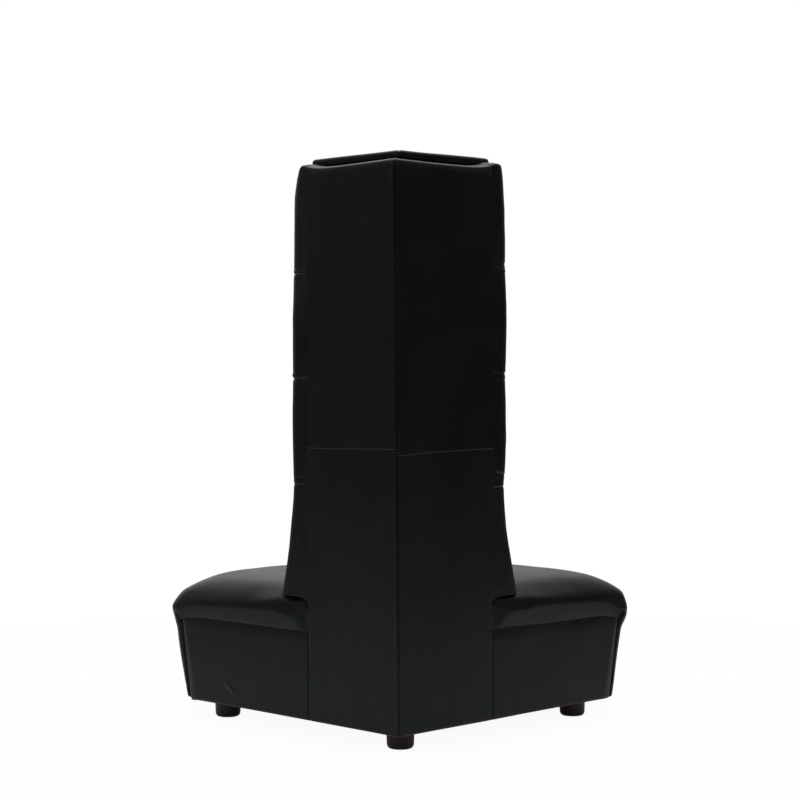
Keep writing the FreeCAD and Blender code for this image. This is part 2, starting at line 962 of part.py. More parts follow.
def save(name, shapes):
    solids = [solid for shape in shapes for solid in shape.Solids]
    shape = placed(solids[0] if len(solids) == 1 else Part.makeCompound(solids))
    for solid in shape.Solids:
        if not solid.isValid() or solid.Volume <= 0:
            raise RuntimeError(name + " has a broken solid")
    shape.exportStep("parts/" + name + ".step")
    print(name, len(solids), round(shape.Volume / 1000.0, 2), "cm3")


def save_pair(name, shapes):
    save(name + "_right", shapes)
    save(name + "_left", [swapped(shape) for shape in shapes])


def build():
    os.makedirs("parts", exist_ok=True)
    positions = foot_positions()
    holes, screws = holes_and_screws()
    plate_screws = []
    for name, (s, p) in positions.items():
        piece = foot()
        piece.translate(Vector(s, p, 0))
        save("foot_" + name, [piece])
        boss = Part.makeCylinder(boss_radius + hole_clearance, stock, Vector(s, p, rail_bottom))
        holes.append(boss)
        for s_way in (-plate_screw_offset, plate_screw_offset):
            for p_way in (-plate_screw_offset, plate_screw_offset):
                plate_screws.append(plate_screw(s + s_way, p + p_way))
                holes.append(plate_screw(s + s_way, p + p_way, hole_clearance))
    coach_bolts = []
    for height in coach_bolt_heights:
        for flip in (False, True):
            pair = [coach_bolt(height), coach_bolt(height, hole_clearance)]
            if flip:
                pair = [swapped(item) for item in pair]
            coach_bolts.append(pair[0])
            holes.append(pair[1])
    drilled = Part.makeCompound(holes)
    for name, solids in timber_pieces().items():
        save(name, [solid.cut(drilled) for solid in solids])
    plates = []
    bolts = []
    for s, p in positions.values():
        plate = foot_plate()
        bolt = foot_bolt()
        for piece in (plate, bolt):
            piece.translate(Vector(s, p, 0))
        for s_way in (-plate_screw_offset, plate_screw_offset):
            for p_way in (-plate_screw_offset, plate_screw_offset):
                plate = plate.cut(plate_screw(s + s_way, p + p_way, hole_clearance))
        plates.append(plate)
        bolts.append(bolt)
    save("foot_plates", plates)
    save("foot_bolts", bolts)
    save("foot_plate_screws", plate_screws)
    save("frame_screws", screws)
    save("frame_coach_bolts", coach_bolts)
    save_pair("outer_back_board", [outer_back_board()])
    save_pair("side_board", [side_board()])
    save_pair("front_board", [front_board_piece()])
    save_pair("front_foam", [front_foam_pad()])
    save_pair("front_cover", [front_cover()])
    save_pair("side_cover", [side_cover()])
    save("outer_back_upper_right", [outer_back_upper(False)])
    save("outer_back_upper_left", [swapped(outer_back_upper(True))])
    save("outer_back_lower_right", [outer_back_lower(False)])
    save("outer_back_lower_left", [swapped(outer_back_lower(True))])
    save("seat_webbing", seat_straps())
    save("seat_hessian", [hessian()])
    save("back_webbing_right", back_wing_straps(0))
    save("back_webbing_left", [swapped(strap) for strap in back_wing_straps(1)])
    save("dust_cloth", [dust_cloth()])
    row = stitch_row()
    save("corner_stitching", row + [swapped(thread) for thread in row])
    save("seat_cover", [seat_cover()])
    save("seat_foam", [seat_foam()])
    save_pair("inside_back_cover", [inside_cover()])
    save_pair("back_foam", wing_pads())
    save_pair("top_roll_cover", [roll_cover()])
    save_pair("top_roll_foam", [roll_foam()])


build()
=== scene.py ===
import json
import math
import bmesh
import bpy
import numpy as np
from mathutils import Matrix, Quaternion, Vector, noise


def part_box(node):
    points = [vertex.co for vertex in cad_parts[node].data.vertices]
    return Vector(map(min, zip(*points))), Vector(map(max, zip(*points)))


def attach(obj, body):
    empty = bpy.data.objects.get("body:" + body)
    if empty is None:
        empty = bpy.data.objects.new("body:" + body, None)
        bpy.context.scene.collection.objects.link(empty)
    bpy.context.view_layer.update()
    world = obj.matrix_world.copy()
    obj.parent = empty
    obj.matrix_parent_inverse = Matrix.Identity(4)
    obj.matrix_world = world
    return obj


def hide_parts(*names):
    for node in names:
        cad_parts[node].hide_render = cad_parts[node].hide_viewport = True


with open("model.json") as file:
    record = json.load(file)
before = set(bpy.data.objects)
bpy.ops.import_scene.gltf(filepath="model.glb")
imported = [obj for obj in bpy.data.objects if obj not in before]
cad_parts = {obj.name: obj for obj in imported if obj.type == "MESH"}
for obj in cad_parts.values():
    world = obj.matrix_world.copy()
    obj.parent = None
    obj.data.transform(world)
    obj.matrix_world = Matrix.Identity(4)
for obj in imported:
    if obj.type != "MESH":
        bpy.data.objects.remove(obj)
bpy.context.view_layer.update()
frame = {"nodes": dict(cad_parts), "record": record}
bpy.context.scene.view_settings.view_transform = "Standard"
print("frame loaded:", len(frame["nodes"]), "nodes")

# A high-backed corner seat in black leather, in metres.
# Shapes are drawn in corner coordinates: s runs along one wing from the back corner, p runs into
# the room from that wing's outer plane, z is up. inFrame() turns them into the seat's own frame.

lowerLow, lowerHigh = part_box("outer_back_lower_right")
rollLow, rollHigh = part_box("top_roll_cover_right")
whole = {
    "corner": lowerHigh.y,
    "wingSeam": lowerHigh.y - lowerLow.x,
    "bottom": lowerLow.z,
    "lapTop": lowerHigh.z,
    "seatSeam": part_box("side_cover_right")[1].z,
    "backTop": rollLow.z,
    "rollTop": rollHigh.z,
    "side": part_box("seat_cover")[1].x + lowerHigh.y,
    "leather": 0.0013,
}
wings = ("left", "right")
seeds = {"left": 3.1, "right": 8.6}


def newObject(name, data):
    made = bpy.data.objects.new(name, data)
    bpy.context.scene.collection.objects.link(made)
    return made


def newMesh(name, bm):
    mesh = bpy.data.meshes.new(name)
    bm.to_mesh(mesh)
    bm.free()
    return mesh


camera = {
    "place": (3.9207, 3.9125, 0.9425),
    "aim": (-0.7081, -0.7061, 0.0),
    "lens": 83.4,
    "sensor": 36.0,
    "roll": -0.142,
    "shiftY": -0.0051,
}


def makeCamera():
    data = bpy.data.cameras.new("camera")
    data.lens = camera["lens"]
    data.sensor_width = camera["sensor"]
    data.shift_y = camera["shiftY"]
    data.clip_end = 60.0
    eye = newObject("camera", data)
    eye.location = camera["place"]
    eye.rotation_mode = "QUATERNION"
    aim = Vector(camera["aim"]).to_track_quat("-Z", "Y")
    eye.rotation_quaternion = aim @ Quaternion((0.0, 0.0, 1.0), math.radians(camera["roll"]))
    bpy.context.scene.camera = eye


makeCamera()


# Shader maths: a wrapped socket takes the usual operators, and node() makes any other node

def operator(operation, swapped=False):
    def combined(self, value):
        return self.maths(operation, value, self) if swapped else self.maths(operation, self, value)

    return combined


class Flow:
    __add__ = operator("ADD")
    __radd__ = operator("ADD", True)
    __sub__ = operator("SUBTRACT")
    __rsub__ = operator("SUBTRACT", True)
    __mul__ = operator("MULTIPLY")
    __rmul__ = operator("MULTIPLY", True)

    def __init__(self, tree, socket=None):
        self.tree = tree
        self.socket = socket

    def node(self, kind, settings=None, inputs=None, output=0):
        made = self.tree.nodes.new(kind)
        for name, value in (settings or {}).items():
            if name == "stops":
                setStops(made.color_ramp, value)
            else:
                setattr(made, name, value)
        for name, value in (inputs or {}).items():
            if isinstance(value, Flow):
                self.tree.links.new(value.socket, made.inputs[name])
            else:
                made.inputs[name].default_value = value
        return Flow(self.tree, made.outputs[output] if len(made.outputs) else None)

    def other(self, name):
        # another output of the same node
        return Flow(self.tree, self.socket.node.outputs[name])

    def maths(self, operation, first, second):
        return self.node("ShaderNodeMath", {"operation": operation}, {0: first, 1: second})

    def ease(self, low, high):
        limits = {"Value": self, "From Min": low, "From Max": high}
        return self.node("ShaderNodeMapRange", {"interpolation_type": "SMOOTHSTEP"}, limits)

    def stained(self, stops):
        return self.node("ShaderNodeValToRGB", {"stops": stops}, {0: self})

    def paint(self, first, second):
        return self.node("ShaderNodeMix", {"data_type": "RGBA"}, {0: self, 6: first, 7: second}, 2)

    def stretched(self, scale):
        return self.node("ShaderNodeMapping", None, {"Vector": self, "Scale": scale})

    def clouds(self, scale, detail=3.0, roughness=0.5):
        values = {"Vector": self, "Scale": scale, "Detail": detail, "Roughness": roughness}
        return self.node("ShaderNodeTexNoise", None, values)

    def cells(self, scale, feature="F1"):
        settings = {"feature": feature}
        return self.node("ShaderNodeTexVoronoi", settings, {"Vector": self, "Scale": scale})

    def bump(self, distance, strength=1.0, under=None):
        values = {"Height": self, "Distance": distance, "Strength": strength}
        if under is not None:
            values["Normal"] = under
        return self.node("ShaderNodeBump", None, values)


def setStops(ramp, stops):
    while len(ramp.elements) < len(stops):
        ramp.elements.new(1.0)
    for element, (position, colour) in zip(ramp.elements, stops):
        element.position = position
        element.color = colour


def newMaterial(name):
    material = bpy.data.materials.new(name)
    material.use_nodes = True
    material.node_tree.nodes.clear()
    return material, Flow(material.node_tree)


def objectPlace(flow):
    return flow.node("ShaderNodeTexCoord", None, None, "Object")


def newFinish(name, recipe, *values):
    # a recipe gives the surface's inputs from the place on the object
    material, flow = newMaterial(name)
    shader = flow.node("ShaderNodeBsdfPrincipled", None, recipe(objectPlace(flow), *values))
    flow.node("ShaderNodeOutputMaterial", None, {"Surface": shader})
    return material


# Materials

leatherLook = {
    "shade": (0.0007, 0.0011, 0.0015, 1.0),
    # the pale colour, for real wear and for painted light
    "wornAndSheen": (0.0062, 0.0072, 0.0086, 1.0),
    "specular": 0.18,
    "tint": (0.72, 0.87, 1.0, 1.0),
    "roughness": 0.36,
    "pebbleScale": 620.0,
    "poreScale": 1500.0,
    "pebbleDepth": 0.00009,
    "creaseDepth": 0.0006,
}


def leather(place):
    look = leatherLook
    wear = place.node("ShaderNodeAttribute", {"attribute_name": "wear"}, None, "Fac")
    patches = place.clouds(7.0, 3.0)
    mottle = place.clouds(160.0, 2.0)
    pebbles = place.cells(look["pebbleScale"], "SMOOTH_F1")
    pores = place.clouds(look["poreScale"], 2.0)
    folds = place.clouds(26.0, 4.0, 0.55)
    # paler with the wear attribute, which holds real wear on convex edges and painted light, and with
    # random patches
    tone = (wear.ease(0.15, 0.9) * 0.7 + patches.ease(0.35, 0.7) * 0.25) * (0.7 + mottle * 0.6)
    grain = pebbles * 0.8 + pores * 0.25
    return {
        "Base Color": tone.paint(look["shade"], look["wornAndSheen"]),
        "Roughness": look["roughness"] + patches * 0.1 + mottle * 0.06 - wear.ease(0.2, 1.0) * 0.06,
        "Specular IOR Level": look["specular"],
        "Specular Tint": look["tint"],
        "Normal": grain.bump(look["pebbleDepth"], 0.8, folds.bump(look["creaseDepth"], 0.35)),
    }


def footWood(place):
    grain = place.stretched((90.0, 90.0, 14.0)).clouds(1.0, 5.0, 0.6)
    streaks = place.stretched((420.0, 420.0, 30.0)).clouds(1.0, 3.0)
    stops = [(0.3, (0.0055, 0.0026, 0.0026, 1.0)), (0.7, (0.022, 0.0092, 0.0084, 1.0))]
    return {
        "Base Color": (grain * 0.7 + streaks * 0.3).stained(stops),
        "Roughness": 0.34 + streaks * 0.2,
        "Specular IOR Level": 0.24,
        "Specular Tint": (1.0, 0.8, 0.82, 1.0),
        "Normal": streaks.bump(0.0001, 0.4),
    }


def timber(place):
    warp = place.clouds(9.0, 3.0)
    rings = (place.stretched((6.0, 6.0, 6.0)).clouds(1.0, 2.0) + warp * 0.2) * 22.0
    bands = rings.maths("FRACT", rings, 0.0)
    fibres = place.stretched((260.0, 260.0, 22.0)).clouds(1.0, 3.0)
    stops = [(0.2, (0.42, 0.27, 0.14, 1.0)), (0.8, (0.62, 0.45, 0.27, 1.0))]
    return {
        "Base Color": (bands * 0.6 + fibres * 0.4).stained(stops),
        "Roughness": 0.6 + fibres * 0.2,
        "Normal": fibres.bump(0.0002, 0.4),
    }


def fibreBoard(place):
    specks = place.clouds(700.0, 3.0)
    tone = specks * 0.6 + place.clouds(25.0, 2.0) * 0.4
    return {
        "Base Color": tone.paint((0.12, 0.07, 0.035, 1.0), (0.3, 0.2, 0.11, 1.0)),
        "Roughness": 0.75 + specks * 0.15,
        "Normal": specks.bump(0.0001, 0.5),
    }


def zincSteel(place):
    spangle = place.cells(240.0)
    smears = place.clouds(70.0, 3.0)
    tone = spangle * 0.5 + smears * 0.5
    return {
        "Base Color": tone.paint((0.42, 0.43, 0.44, 1.0), (0.62, 0.63, 0.64, 1.0)),
        "Metallic": 1.0,
        "Roughness": 0.28 + smears * 0.2,
        "Normal": spangle.bump(0.00005, 0.4),
    }


def weave(place, pitch, dark, light, strength):
    parts = place.node("ShaderNodeSeparateXYZ", None, {0: place})
    turns = 2.0 * math.pi / pitch
    across = parts.maths("SINE", (parts + parts.other("Z")) * turns, 0.0)
    along = parts.maths("SINE", (parts.other("Y") + parts.other("Z")) * turns, 0.0)
    threads = across.maths("ABSOLUTE", across * along, 0.0)
    fuzz = place.clouds(1800.0, 2.0)
    tone = threads * 0.7 + fuzz * 0.3
    return {
        "Base Color": tone.paint(dark, light),
        "Roughness": 0.85 + fuzz * 0.1,
        "Normal": tone.bump(pitch * 0.2, strength),
    }


def foam(place):
    return {
        "Base Color": place.clouds(12.0, 2.0).paint((0.55, 0.5, 0.36, 1.0), (0.7, 0.66, 0.52, 1.0)),
        "Roughness": 0.9,
        "Normal": place.cells(900.0).bump(0.0004, 0.6),
    }


def tanThread(place):
    twist = place.stretched((2600.0, 2600.0, 1500.0)).clouds(1.0, 2.0)
    return {
        "Base Color": twist.paint((0.13, 0.075, 0.068, 1.0), (0.27, 0.18, 0.165, 1.0)),
        "Roughness": 0.6 + twist * 0.2,
        "Specular IOR Level": 0.3,
        "Normal": twist.bump(0.0002, 0.5),
    }


weaves = {
    "webbing": (0.0022, (0.02, 0.02, 0.022, 1.0), (0.09, 0.09, 0.095, 1.0), 0.6),
    "hessian": (0.0018, (0.16, 0.11, 0.06, 1.0), (0.4, 0.3, 0.18, 1.0), 0.8),
    "dust_cloth": (0.0009, (0.008, 0.008, 0.009, 1.0), (0.03, 0.03, 0.032, 1.0), 0.4),
}
materials = {
    "black_leather": newFinish("blackLeather", leather),
    "foot_wood": newFinish("footWood", footWood),
    "frame_timber": newFinish("frameTimber", timber),
    "board": newFinish("fibreBoard", fibreBoard),
    "steel": newFinish("zincSteel", zincSteel),
    "webbing": newFinish("webbing", weave, *weaves["webbing"]),
    "hessian": newFinish("hessian", weave, *weaves["hessian"]),
    "dust_cloth": newFinish("dustCloth", weave, *weaves["dust_cloth"]),
    "foam": newFinish("seatFoam", foam),
    "tan_thread": newFinish("tanThread", tanThread),
}
print("materials made")


# The studio: a white floor and surround, dimmer towards the camera, with a soft lamp overhead

studio = {
    "ambient": 0.7,
    "floorRadius": 2.6,
    "floorColour": (0.95, 0.95, 0.95, 1.0),
    "floorShare": 0.95,
    "floorMirrored": (0.66, 0.455),
    "floorTurn": 1.2,
    # painted shadow: the floor's glow in reflections falls to the given share near and under the seat
    "paintedSeatShadow": (0.35, 0.75, 0.24),
    "awayTurn": 0.05,
    "awaySpans": ((0.455, 0.695, 0.6), (0.62, 1.02, 0.4)),
    "awayRise": (0.10, 0.22),
    "cameraSide": 0.1,
    "awayLevels": (1.5, 1.1),
    "sideLevels": (0.25, 0.138),
    "sideTurn": 0.6,
    "behindSpan": (-0.9, -0.1),
    "backdropTurn": 0.2,
    "diagonal": 0.7071,
    "sideRise": (0.0, 0.11, 0.2, 0.2),
    "ceilingSpan": (0.72, 0.95),
    "ceiling": 0.1,
    "lamp": ((0.0, 0.0, 3.7), 60.0, 3.0),
    "aim": (0.0, 0.0, 0.7),
}


def mirroredRay(path):
    return path.other("Is Glossy Ray") + path.other("Is Transmission Ray")


def makeWorld():
    world = bpy.data.worlds.new("studio")
    bpy.context.scene.world = world
    world.use_nodes = True
    world.node_tree.nodes.clear()
    flow = Flow(world.node_tree)
    heading = flow.node("ShaderNodeTexCoord", None, None, "Generated")
    east = flow.node("ShaderNodeSeparateXYZ", None, {0: heading})
    north = east.other("Y")
    height = east.other("Z")
    away = (east + north) * -studio["diagonal"]
    leftward = (east - north) * studio["diagonal"]
    # what the leather mirrors: dim beside and behind the camera, bright beyond the seat
    left, right = studio["sideLevels"]
    side = right + leftward.ease(-studio["sideTurn"], studio["sideTurn"]) * (left - right)
    start, full, end, gain = studio["sideRise"]
    side = side * (1.0 + gain * height.ease(start, full) * (1.0 - height.ease(full, end)))
    ahead = away.ease(*studio["behindSpan"])
    level = side * ahead + (1.0 - ahead) * studio["cameraSide"]
    bright = 0.0
    for low, high, share in studio["awaySpans"]:
        bright = (away + leftward * studio["awayTurn"]).ease(low, high) * share + bright
    left, right = studio["awayLevels"]
    backdrop = right + leftward.ease(-studio["backdropTurn"], studio["backdropTurn"]) * (left - right)
    level = level + bright * height.ease(*studio["awayRise"]) * backdrop
    dim = height.ease(*studio["ceilingSpan"])
    level = level * (1.0 - dim) + dim * studio["ceiling"]
    # the camera sees plain white, and matt surfaces get the same light from all sides
    seen = flow.node("ShaderNodeLightPath")
    mirrored = mirroredRay(seen)
    strength = seen + mirrored * level + (1.0 - seen - mirrored) * studio["ambient"]
    white = (1.0, 1.0, 1.0, 1.0)
    shader = flow.node("ShaderNodeBackground", None, {"Color": white, "Strength": strength})
    flow.node("ShaderNodeOutputWorld", None, {"Surface": shader})


def makeFloor():
    bm = bmesh.new()
    bmesh.ops.create_circle(bm, cap_ends=True, segments=96, radius=studio["floorRadius"])
    floor = newObject("floor", newMesh("floor", bm))
    material, flow = newMaterial("floorWhite")
    seen = flow.node("ShaderNodeLightPath")
    east = flow.node("ShaderNodeSeparateXYZ", None, {0: objectPlace(flow)})
    north = east.other("Y")
    left, right = studio["floorMirrored"]
    reaches = [east.maths("ABSOLUTE", axis, 0.0) for axis in (east, north)]
    # painted shadow under the seat in the floor's glow for reflections
    near, far, shade = studio["paintedSeatShadow"]
    unshadedShare = east.maths("MAXIMUM", *reaches).ease(near, far) * (1.0 - shade) + shade
    leftward = (east - north).ease(-studio["floorTurn"], studio["floorTurn"])
    level = (right + leftward * (left - right)) * unshadedShare
    glowing = seen * studio["floorShare"] + mirroredRay(seen) * level
    matt = flow.node("ShaderNodeBsdfDiffuse", None, {"Color": studio["floorColour"]})
    glow = flow.node("ShaderNodeEmission", None, {"Strength": 1.0})
    mixed = flow.node("ShaderNodeMixShader", None, {0: glowing, 1: matt, 2: glow})
    flow.node("ShaderNodeOutputMaterial", None, {"Surface": mixed})
    floor.data.materials.append(material)


def makeLamp():
    place, power, size = studio["lamp"]
    data = bpy.data.lights.new("overheadLamp", "AREA")
    data.energy = power
    data.size = size
    lamp = newObject("overheadLamp", data)
    lamp.location = place
    lamp.rotation_mode = "QUATERNION"
    lamp.rotation_quaternion = (Vector(studio["aim"]) - Vector(place)).to_track_quat("-Z", "Y")


makeWorld()
makeFloor()
makeLamp()
print("studio ready")


# Helpers for shapes

def inFrame(wing, s, p, z):
    if wing == "right":
        return np.column_stack((whole["corner"] - s, whole["corner"] - p, z))
    return np.column_stack((whole["corner"] - p, whole["corner"] - s, z))


def graded(*runs):
    places = [runs[0][0]]
    for start, end, step in runs:
        count = max(1, round((end - start) / step))
        places.extend(start + (end - start) * (index + 1) / count for index in range(count))
    return np.array(places)


def ease(low, high, value):
    share = np.clip((value - low) / (high - low), 0.0, 1.0)
    return share * share * (3.0 - 2.0 * share)


def ridge(value, centre, width):
    return np.exp(-(((value - centre) / width) ** 2))


def edgeRoll(distance, radius):
    # how far a surface falls back within a radius of its edge
    reach = np.clip(1.0 - distance / radius, 0.0, 1.0)
    return radius * (1.0 - np.sqrt(1.0 - reach * reach))


def uneven(across, along, sizes, seed):
    points = zip(across / sizes[0] + seed, along / sizes[1] - seed)
    return np.array([noise.noise(Vector((a, b, seed * 0.37))) for a, b in points])


def wavy(layers, across, along, seed=0.0):
    # summed unevenness: each layer has a height, its two sizes and a seed of its own
    return sum(height * uneven(across, along, sizes, seed + own) for height, sizes, own in layers)


def crease(across, along, start, end, width):
    # a narrow ridge along the straight line between two points
    reach = np.array(end) - np.array(start)
    length = math.hypot(*reach)
    ahead = ((across - start[0]) * reach[0] + (along - start[1]) * reach[1]) / length
    aside = ((across - start[0]) * reach[1] - (along - start[1]) * reach[0]) / length
    fade = ease(0.0, 0.25 * length, ahead) * (1.0 - ease(0.75 * length, length, ahead))
    return np.exp(-((aside / width) ** 2)) * fade


corner = {
    "leanTop": 0.0135,
    "leanBottom": 0.0045,
    "inward": 0.0016,
    "reach": 0.356,
}


seamPlaces = {
    "left": ((0.05, 0.3535), (0.30, 0.3550), (0.45, 0.3570), (0.80, 0.3585), (1.45, 0.3605)),
    "right": ((0.05, 0.3550), (0.20, 0.3565), (0.30, 0.3590), (0.50, 0.3570), (0.80, 0.3635),
              (1.45, 0.3620)),
}


def tableAt(table, value):
    places, values = zip(*table)
    return np.interp(value, places, values)


def seamAt(wing, z):
    # how far along its wing the outer back ends, at a height
    return tableAt(seamPlaces[wing], z)


backTops = {
    "left": ((0.0, 1.5690), (0.15, 1.5693), (0.250, 1.5706), (0.2865, 1.5717), (0.325, 1.5746),
             (0.353, 1.5800), (0.372, 1.5848), (0.40, 1.5865), (0.43, 1.5865)),
    "right": ((0.0, 1.5690), (0.15, 1.5698), (0.22, 1.5712), (0.285, 1.5732), (0.32, 1.5762),
              (0.355, 1.5822), (0.385, 1.5872), (0.41, 1.5880), (0.43, 1.5875)),
}
rimBends = ((0.0, 0.0), (0.018, 2.5), (0.025, 7.0), (0.0295, 20.0), (0.0325, 48.0), (0.036, 70.0),
            (0.046, 79.0), (0.060, 83.0), (0.086, 88.0))


def bentProfile(bends):
    # rise and run along a surface that bends over from upright; a bend is a length and an angle
    lengths = np.linspace(0.0, bends[-1][0], 300)
    turns = np.radians(tableAt(bends, lengths))
    middle = (turns[1:] + turns[:-1]) / 2.0
    rise = np.concatenate(([0.0], np.cumsum(np.cos(middle)) * lengths[1]))
    run = np.concatenate(([0.0], np.cumsum(np.sin(middle)) * lengths[1]))
    return lengths, rise, run


rimLengths, rimRise, rimRun = bentProfile(rimBends)


def towardSeam(wing, s, z):
    return s + (seamAt(wing, z) - whole["wingSeam"]) * ease(0.10, 0.35, s)


def leaned(places):
    # the back corner leans a little sideways, more at the top than at the bottom
    back = whole["corner"] - places[:, :2].min(axis=1)
    weight = np.clip(1.0 - back / corner["reach"], 0.0, 1.0) * 0.7071
    rise = (places[:, 2] - whole["bottom"]) / (whole["backTop"] - whole["bottom"])
    aside = corner["leanBottom"] + (corner["leanTop"] - corner["leanBottom"]) * rise
    out = np.maximum(aside - corner["inward"], 0.0)
    moved = places.copy()
    moved[:, 0] += (out + aside) * weight
    moved[:, 1] += (out - aside) * weight
    return moved


def gridMesh(us, vs, shape, weld=0.00002):
    # a flat grid laid over the surface that shape(u, v) gives
    bm = bmesh.new()
    bmesh.ops.create_grid(bm, x_segments=len(us) - 1, y_segments=len(vs) - 1, size=0.5)
    flat = np.array([vert.co for vert in bm.verts])
    columns = np.rint((flat[:, 0] + 0.5) * (len(us) - 1)).astype(int)
    rows = np.rint((flat[:, 1] + 0.5) * (len(vs) - 1)).astype(int)
    for vert, place in zip(bm.verts, shape(us[columns], vs[rows])):
        vert.co = place
    bmesh.ops.remove_doubles(bm, verts=bm.verts, dist=weld)
    bmesh.ops.dissolve_degenerate(bm, dist=weld, edges=bm.edges)
    bmesh.ops.recalc_face_normals(bm, faces=bm.faces)
    return bm


def faceToward(bm, wing, s, p):
    # turns an open sheet's faces to a direction given along and across a wing
    turnFaces(bm, Vector((-s, -p, 0.0) if wing == "right" else (-p, -s, 0.0)))


def turnFaces(bm, direction):
    total = Vector()
    for face in bm.faces:
        total += face.normal * face.calc_area()
    if total.dot(direction) < 0.0:
        bmesh.ops.reverse_faces(bm, faces=bm.faces)


def closeHoles(bm):
    openEdges = [edge for edge in bm.edges if edge.is_boundary]
    bmesh.ops.holes_fill(bm, edges=openEdges, sides=0)
    bmesh.ops.recalc_face_normals(bm, faces=bm.faces)


def markWearAndSheen(bm, gain, paintedLight):
    # convex edges rub bright: the attribute is 0 on flat leather and 1 on tight rolled edges; the last
    # argument sets a least value under it where light is painted in as a paler tone or a painted highlight
    layer = bm.verts.layers.float.new("wear")
    bm.normal_update()
    for vert in bm.verts:
        bend = 0.0
        for edge in vert.link_edges:
            reach = vert.co - edge.other_vert(vert).co
            bend += reach.dot(vert.normal) / max(reach.length, 1e-6)
        # the least value paints light in: a painted highlight or a painted paler tone
        least = float(paintedLight(vert.co)) if callable(paintedLight) else paintedLight
        vert[layer] = min(1.0, max(least, gain * bend / max(1, len(vert.link_edges))))


def makePiece(name, bm, slot, replaced, wall=0.0, wearGain=9.0, paintedLight=0.0):
    markWearAndSheen(bm, wearGain, paintedLight)
    mesh = newMesh(name, bm)
    mesh.shade_smooth()
    mesh.materials.append(materials[slot])
    piece = newObject(name, mesh)
    if wall:
        solidify = piece.modifiers.new("wall", "SOLIDIFY")
        solidify.thickness = wall
        solidify.offset = -1.0
    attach(piece, "root")
    if replaced:
        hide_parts(*replaced)
    return piece


def leatherSheet(name, node, wing, us, vs, shape, paintedLight=0.0):
    # drawn at the leather's inner face: it faces the room and its wall grows outward
    bm = gridMesh(us, vs, shape)
    faceToward(bm, wing, 0.0, 1.0)
    makePiece(name, bm, "black_leather", [node], whole["leather"], paintedLight=paintedLight)


# Outer back: two flat panels to a wing, the upper one rounded over the top

outerUpper = {
    "plane": 0.0015,
    "low": 0.790,
    "endRoll": 0.0006,
    "underStart": 0.0110,
    "lipEnd": 0.0128,
    "lipDive": (0.0084, 0.0118, 0.0022),
    "cornerRadius": 0.0028,
    "stripEdge": 0.0135,
    "stripHeight": 0.0007,
    # painted highlight: heights over which the upper panels are paled under their top edge, and how much
    "paintedRimHighlight": (1.538, 1.560, 0.85),
    "pressFolds": {
        "left": (((0.075, 1.480), (0.215, 1.478)), ((0.252, 1.470), (0.262, 1.150)),
                 ((0.240, 1.250), (0.105, 1.020))),
        "right": (((0.205, 1.330), (0.218, 0.980)), ((0.225, 1.300), (0.236, 1.020))),
    },
    "pressDepth": 0.00016,
    "pressWidth": 0.004,
    "waves": ((0.0006, (0.13, 0.24), 0.0), (0.00022, (0.035, 0.30), 4.0), (0.00012, (0.018, 0.05), 9.0)),
    "edgeBand": 0.02,
    "topReach": 0.012,
    "startRoll": 0.0018,
    "mitreFrom": 0.004,
    "mitreGap": 0.0008,
    "cornerGap": 0.0012,
    "stripBeat": ((1.0, (0.019, 1.0), 5.3), (0.6, (0.008, 1.0), 2.3)),
    "stripRise": (1.38, 1.50),
    "stripLow": 0.12,
    "stripSway": 0.0009,
    "stripRidge": (0.0005, 0.0015, 0.002),
}


def panelWaves(wing, s, z, strength):
    return wavy(outerUpper["waves"], s, z, seeds[wing]) * strength


def overTheTop(wing, v, s):
    # height and inward run of the upper panel where it rounds over the padded top edge
    low = outerUpper["low"]
    top = tableAt(backTops[wing], s)
    straight = whole["backTop"] - rimRise[-1] - low
    over = np.clip(v - straight, 0.0, rimLengths[-1])
    z = low + np.minimum(v, straight) / straight * (top - rimRise[-1] - low)
    z = z + np.interp(over, rimLengths, rimRise)
    inward = np.interp(over, rimLengths, rimRun)
    return z, inward, np.clip(1.0 - inward / outerUpper["topReach"], 0.0, 1.0)


def upperRows():
    straight = whole["backTop"] - rimRise[-1] - outerUpper["low"]
    return graded(
        (0.0, straight, 0.006),
        (straight, straight + 0.022, 0.003),
        (straight + 0.022, straight + 0.046, 0.0012),
        (straight + 0.046, straight + rimLengths[-1], 0.005),
    )


def pressFolds(wing, s, z):
    total = np.zeros(len(s))
    for start, end in outerUpper["pressFolds"][wing]:
        total += crease(s, z, start, end, outerUpper["pressWidth"])
    return total * outerUpper["pressDepth"]


# painted highlight: the upper panels paled towards their top edge, as if catching the light
def paintedRimHighlight(place):
    low, high, most = outerUpper["paintedRimHighlight"]
    return ease(low, high, place.z) * most


def upperRight():
    made = outerUpper
    start = made["underStart"]
    end = whole["wingSeam"]

    def shape(u, v):
        z, inward, upright = overTheTop("right", v, u)
        back = edgeRoll(end - u, made["endRoll"])
        waves = panelWaves("right", u, z, upright) + pressFolds("right", u, z)
        p = made["plane"] + inward + back - waves * ease(0.0, made["edgeBand"], end - u)
        p = p + edgeRoll(u - start, made["startRoll"]) * upright
        s = towardSeam("right", u, z)
        s = np.where(inward > made["mitreFrom"], np.maximum(s, p - made["mitreGap"]), s)
        return leaned(inFrame("right", s, p, z))

    us = graded((start, start + 0.004, 0.0006), (start + 0.004, 0.35, 0.006), (0.35, end, 0.0005))
    vs = upperRows()
    leatherSheet("outerUpperLeatherRight", "outer_back_upper_right", "right", us, vs, shape, paintedRimHighlight)


def aroundCorner(w, plane, made):
    # s and p along the left panel and round the corner on to the other wing; w < 0 is past the corner
    radius = made["cornerRadius"]
    turn = radius * math.pi / 2.0
    angle = np.clip((radius - w) / radius, 0.0, math.pi / 2.0)
    s = np.where(w > radius, w, radius - radius * np.sin(angle))
    p = plane + radius * (1.0 - np.cos(angle))
    p = p + np.clip(radius - turn - w, 0.0, None)
    return s, p, angle / (math.pi / 2.0)


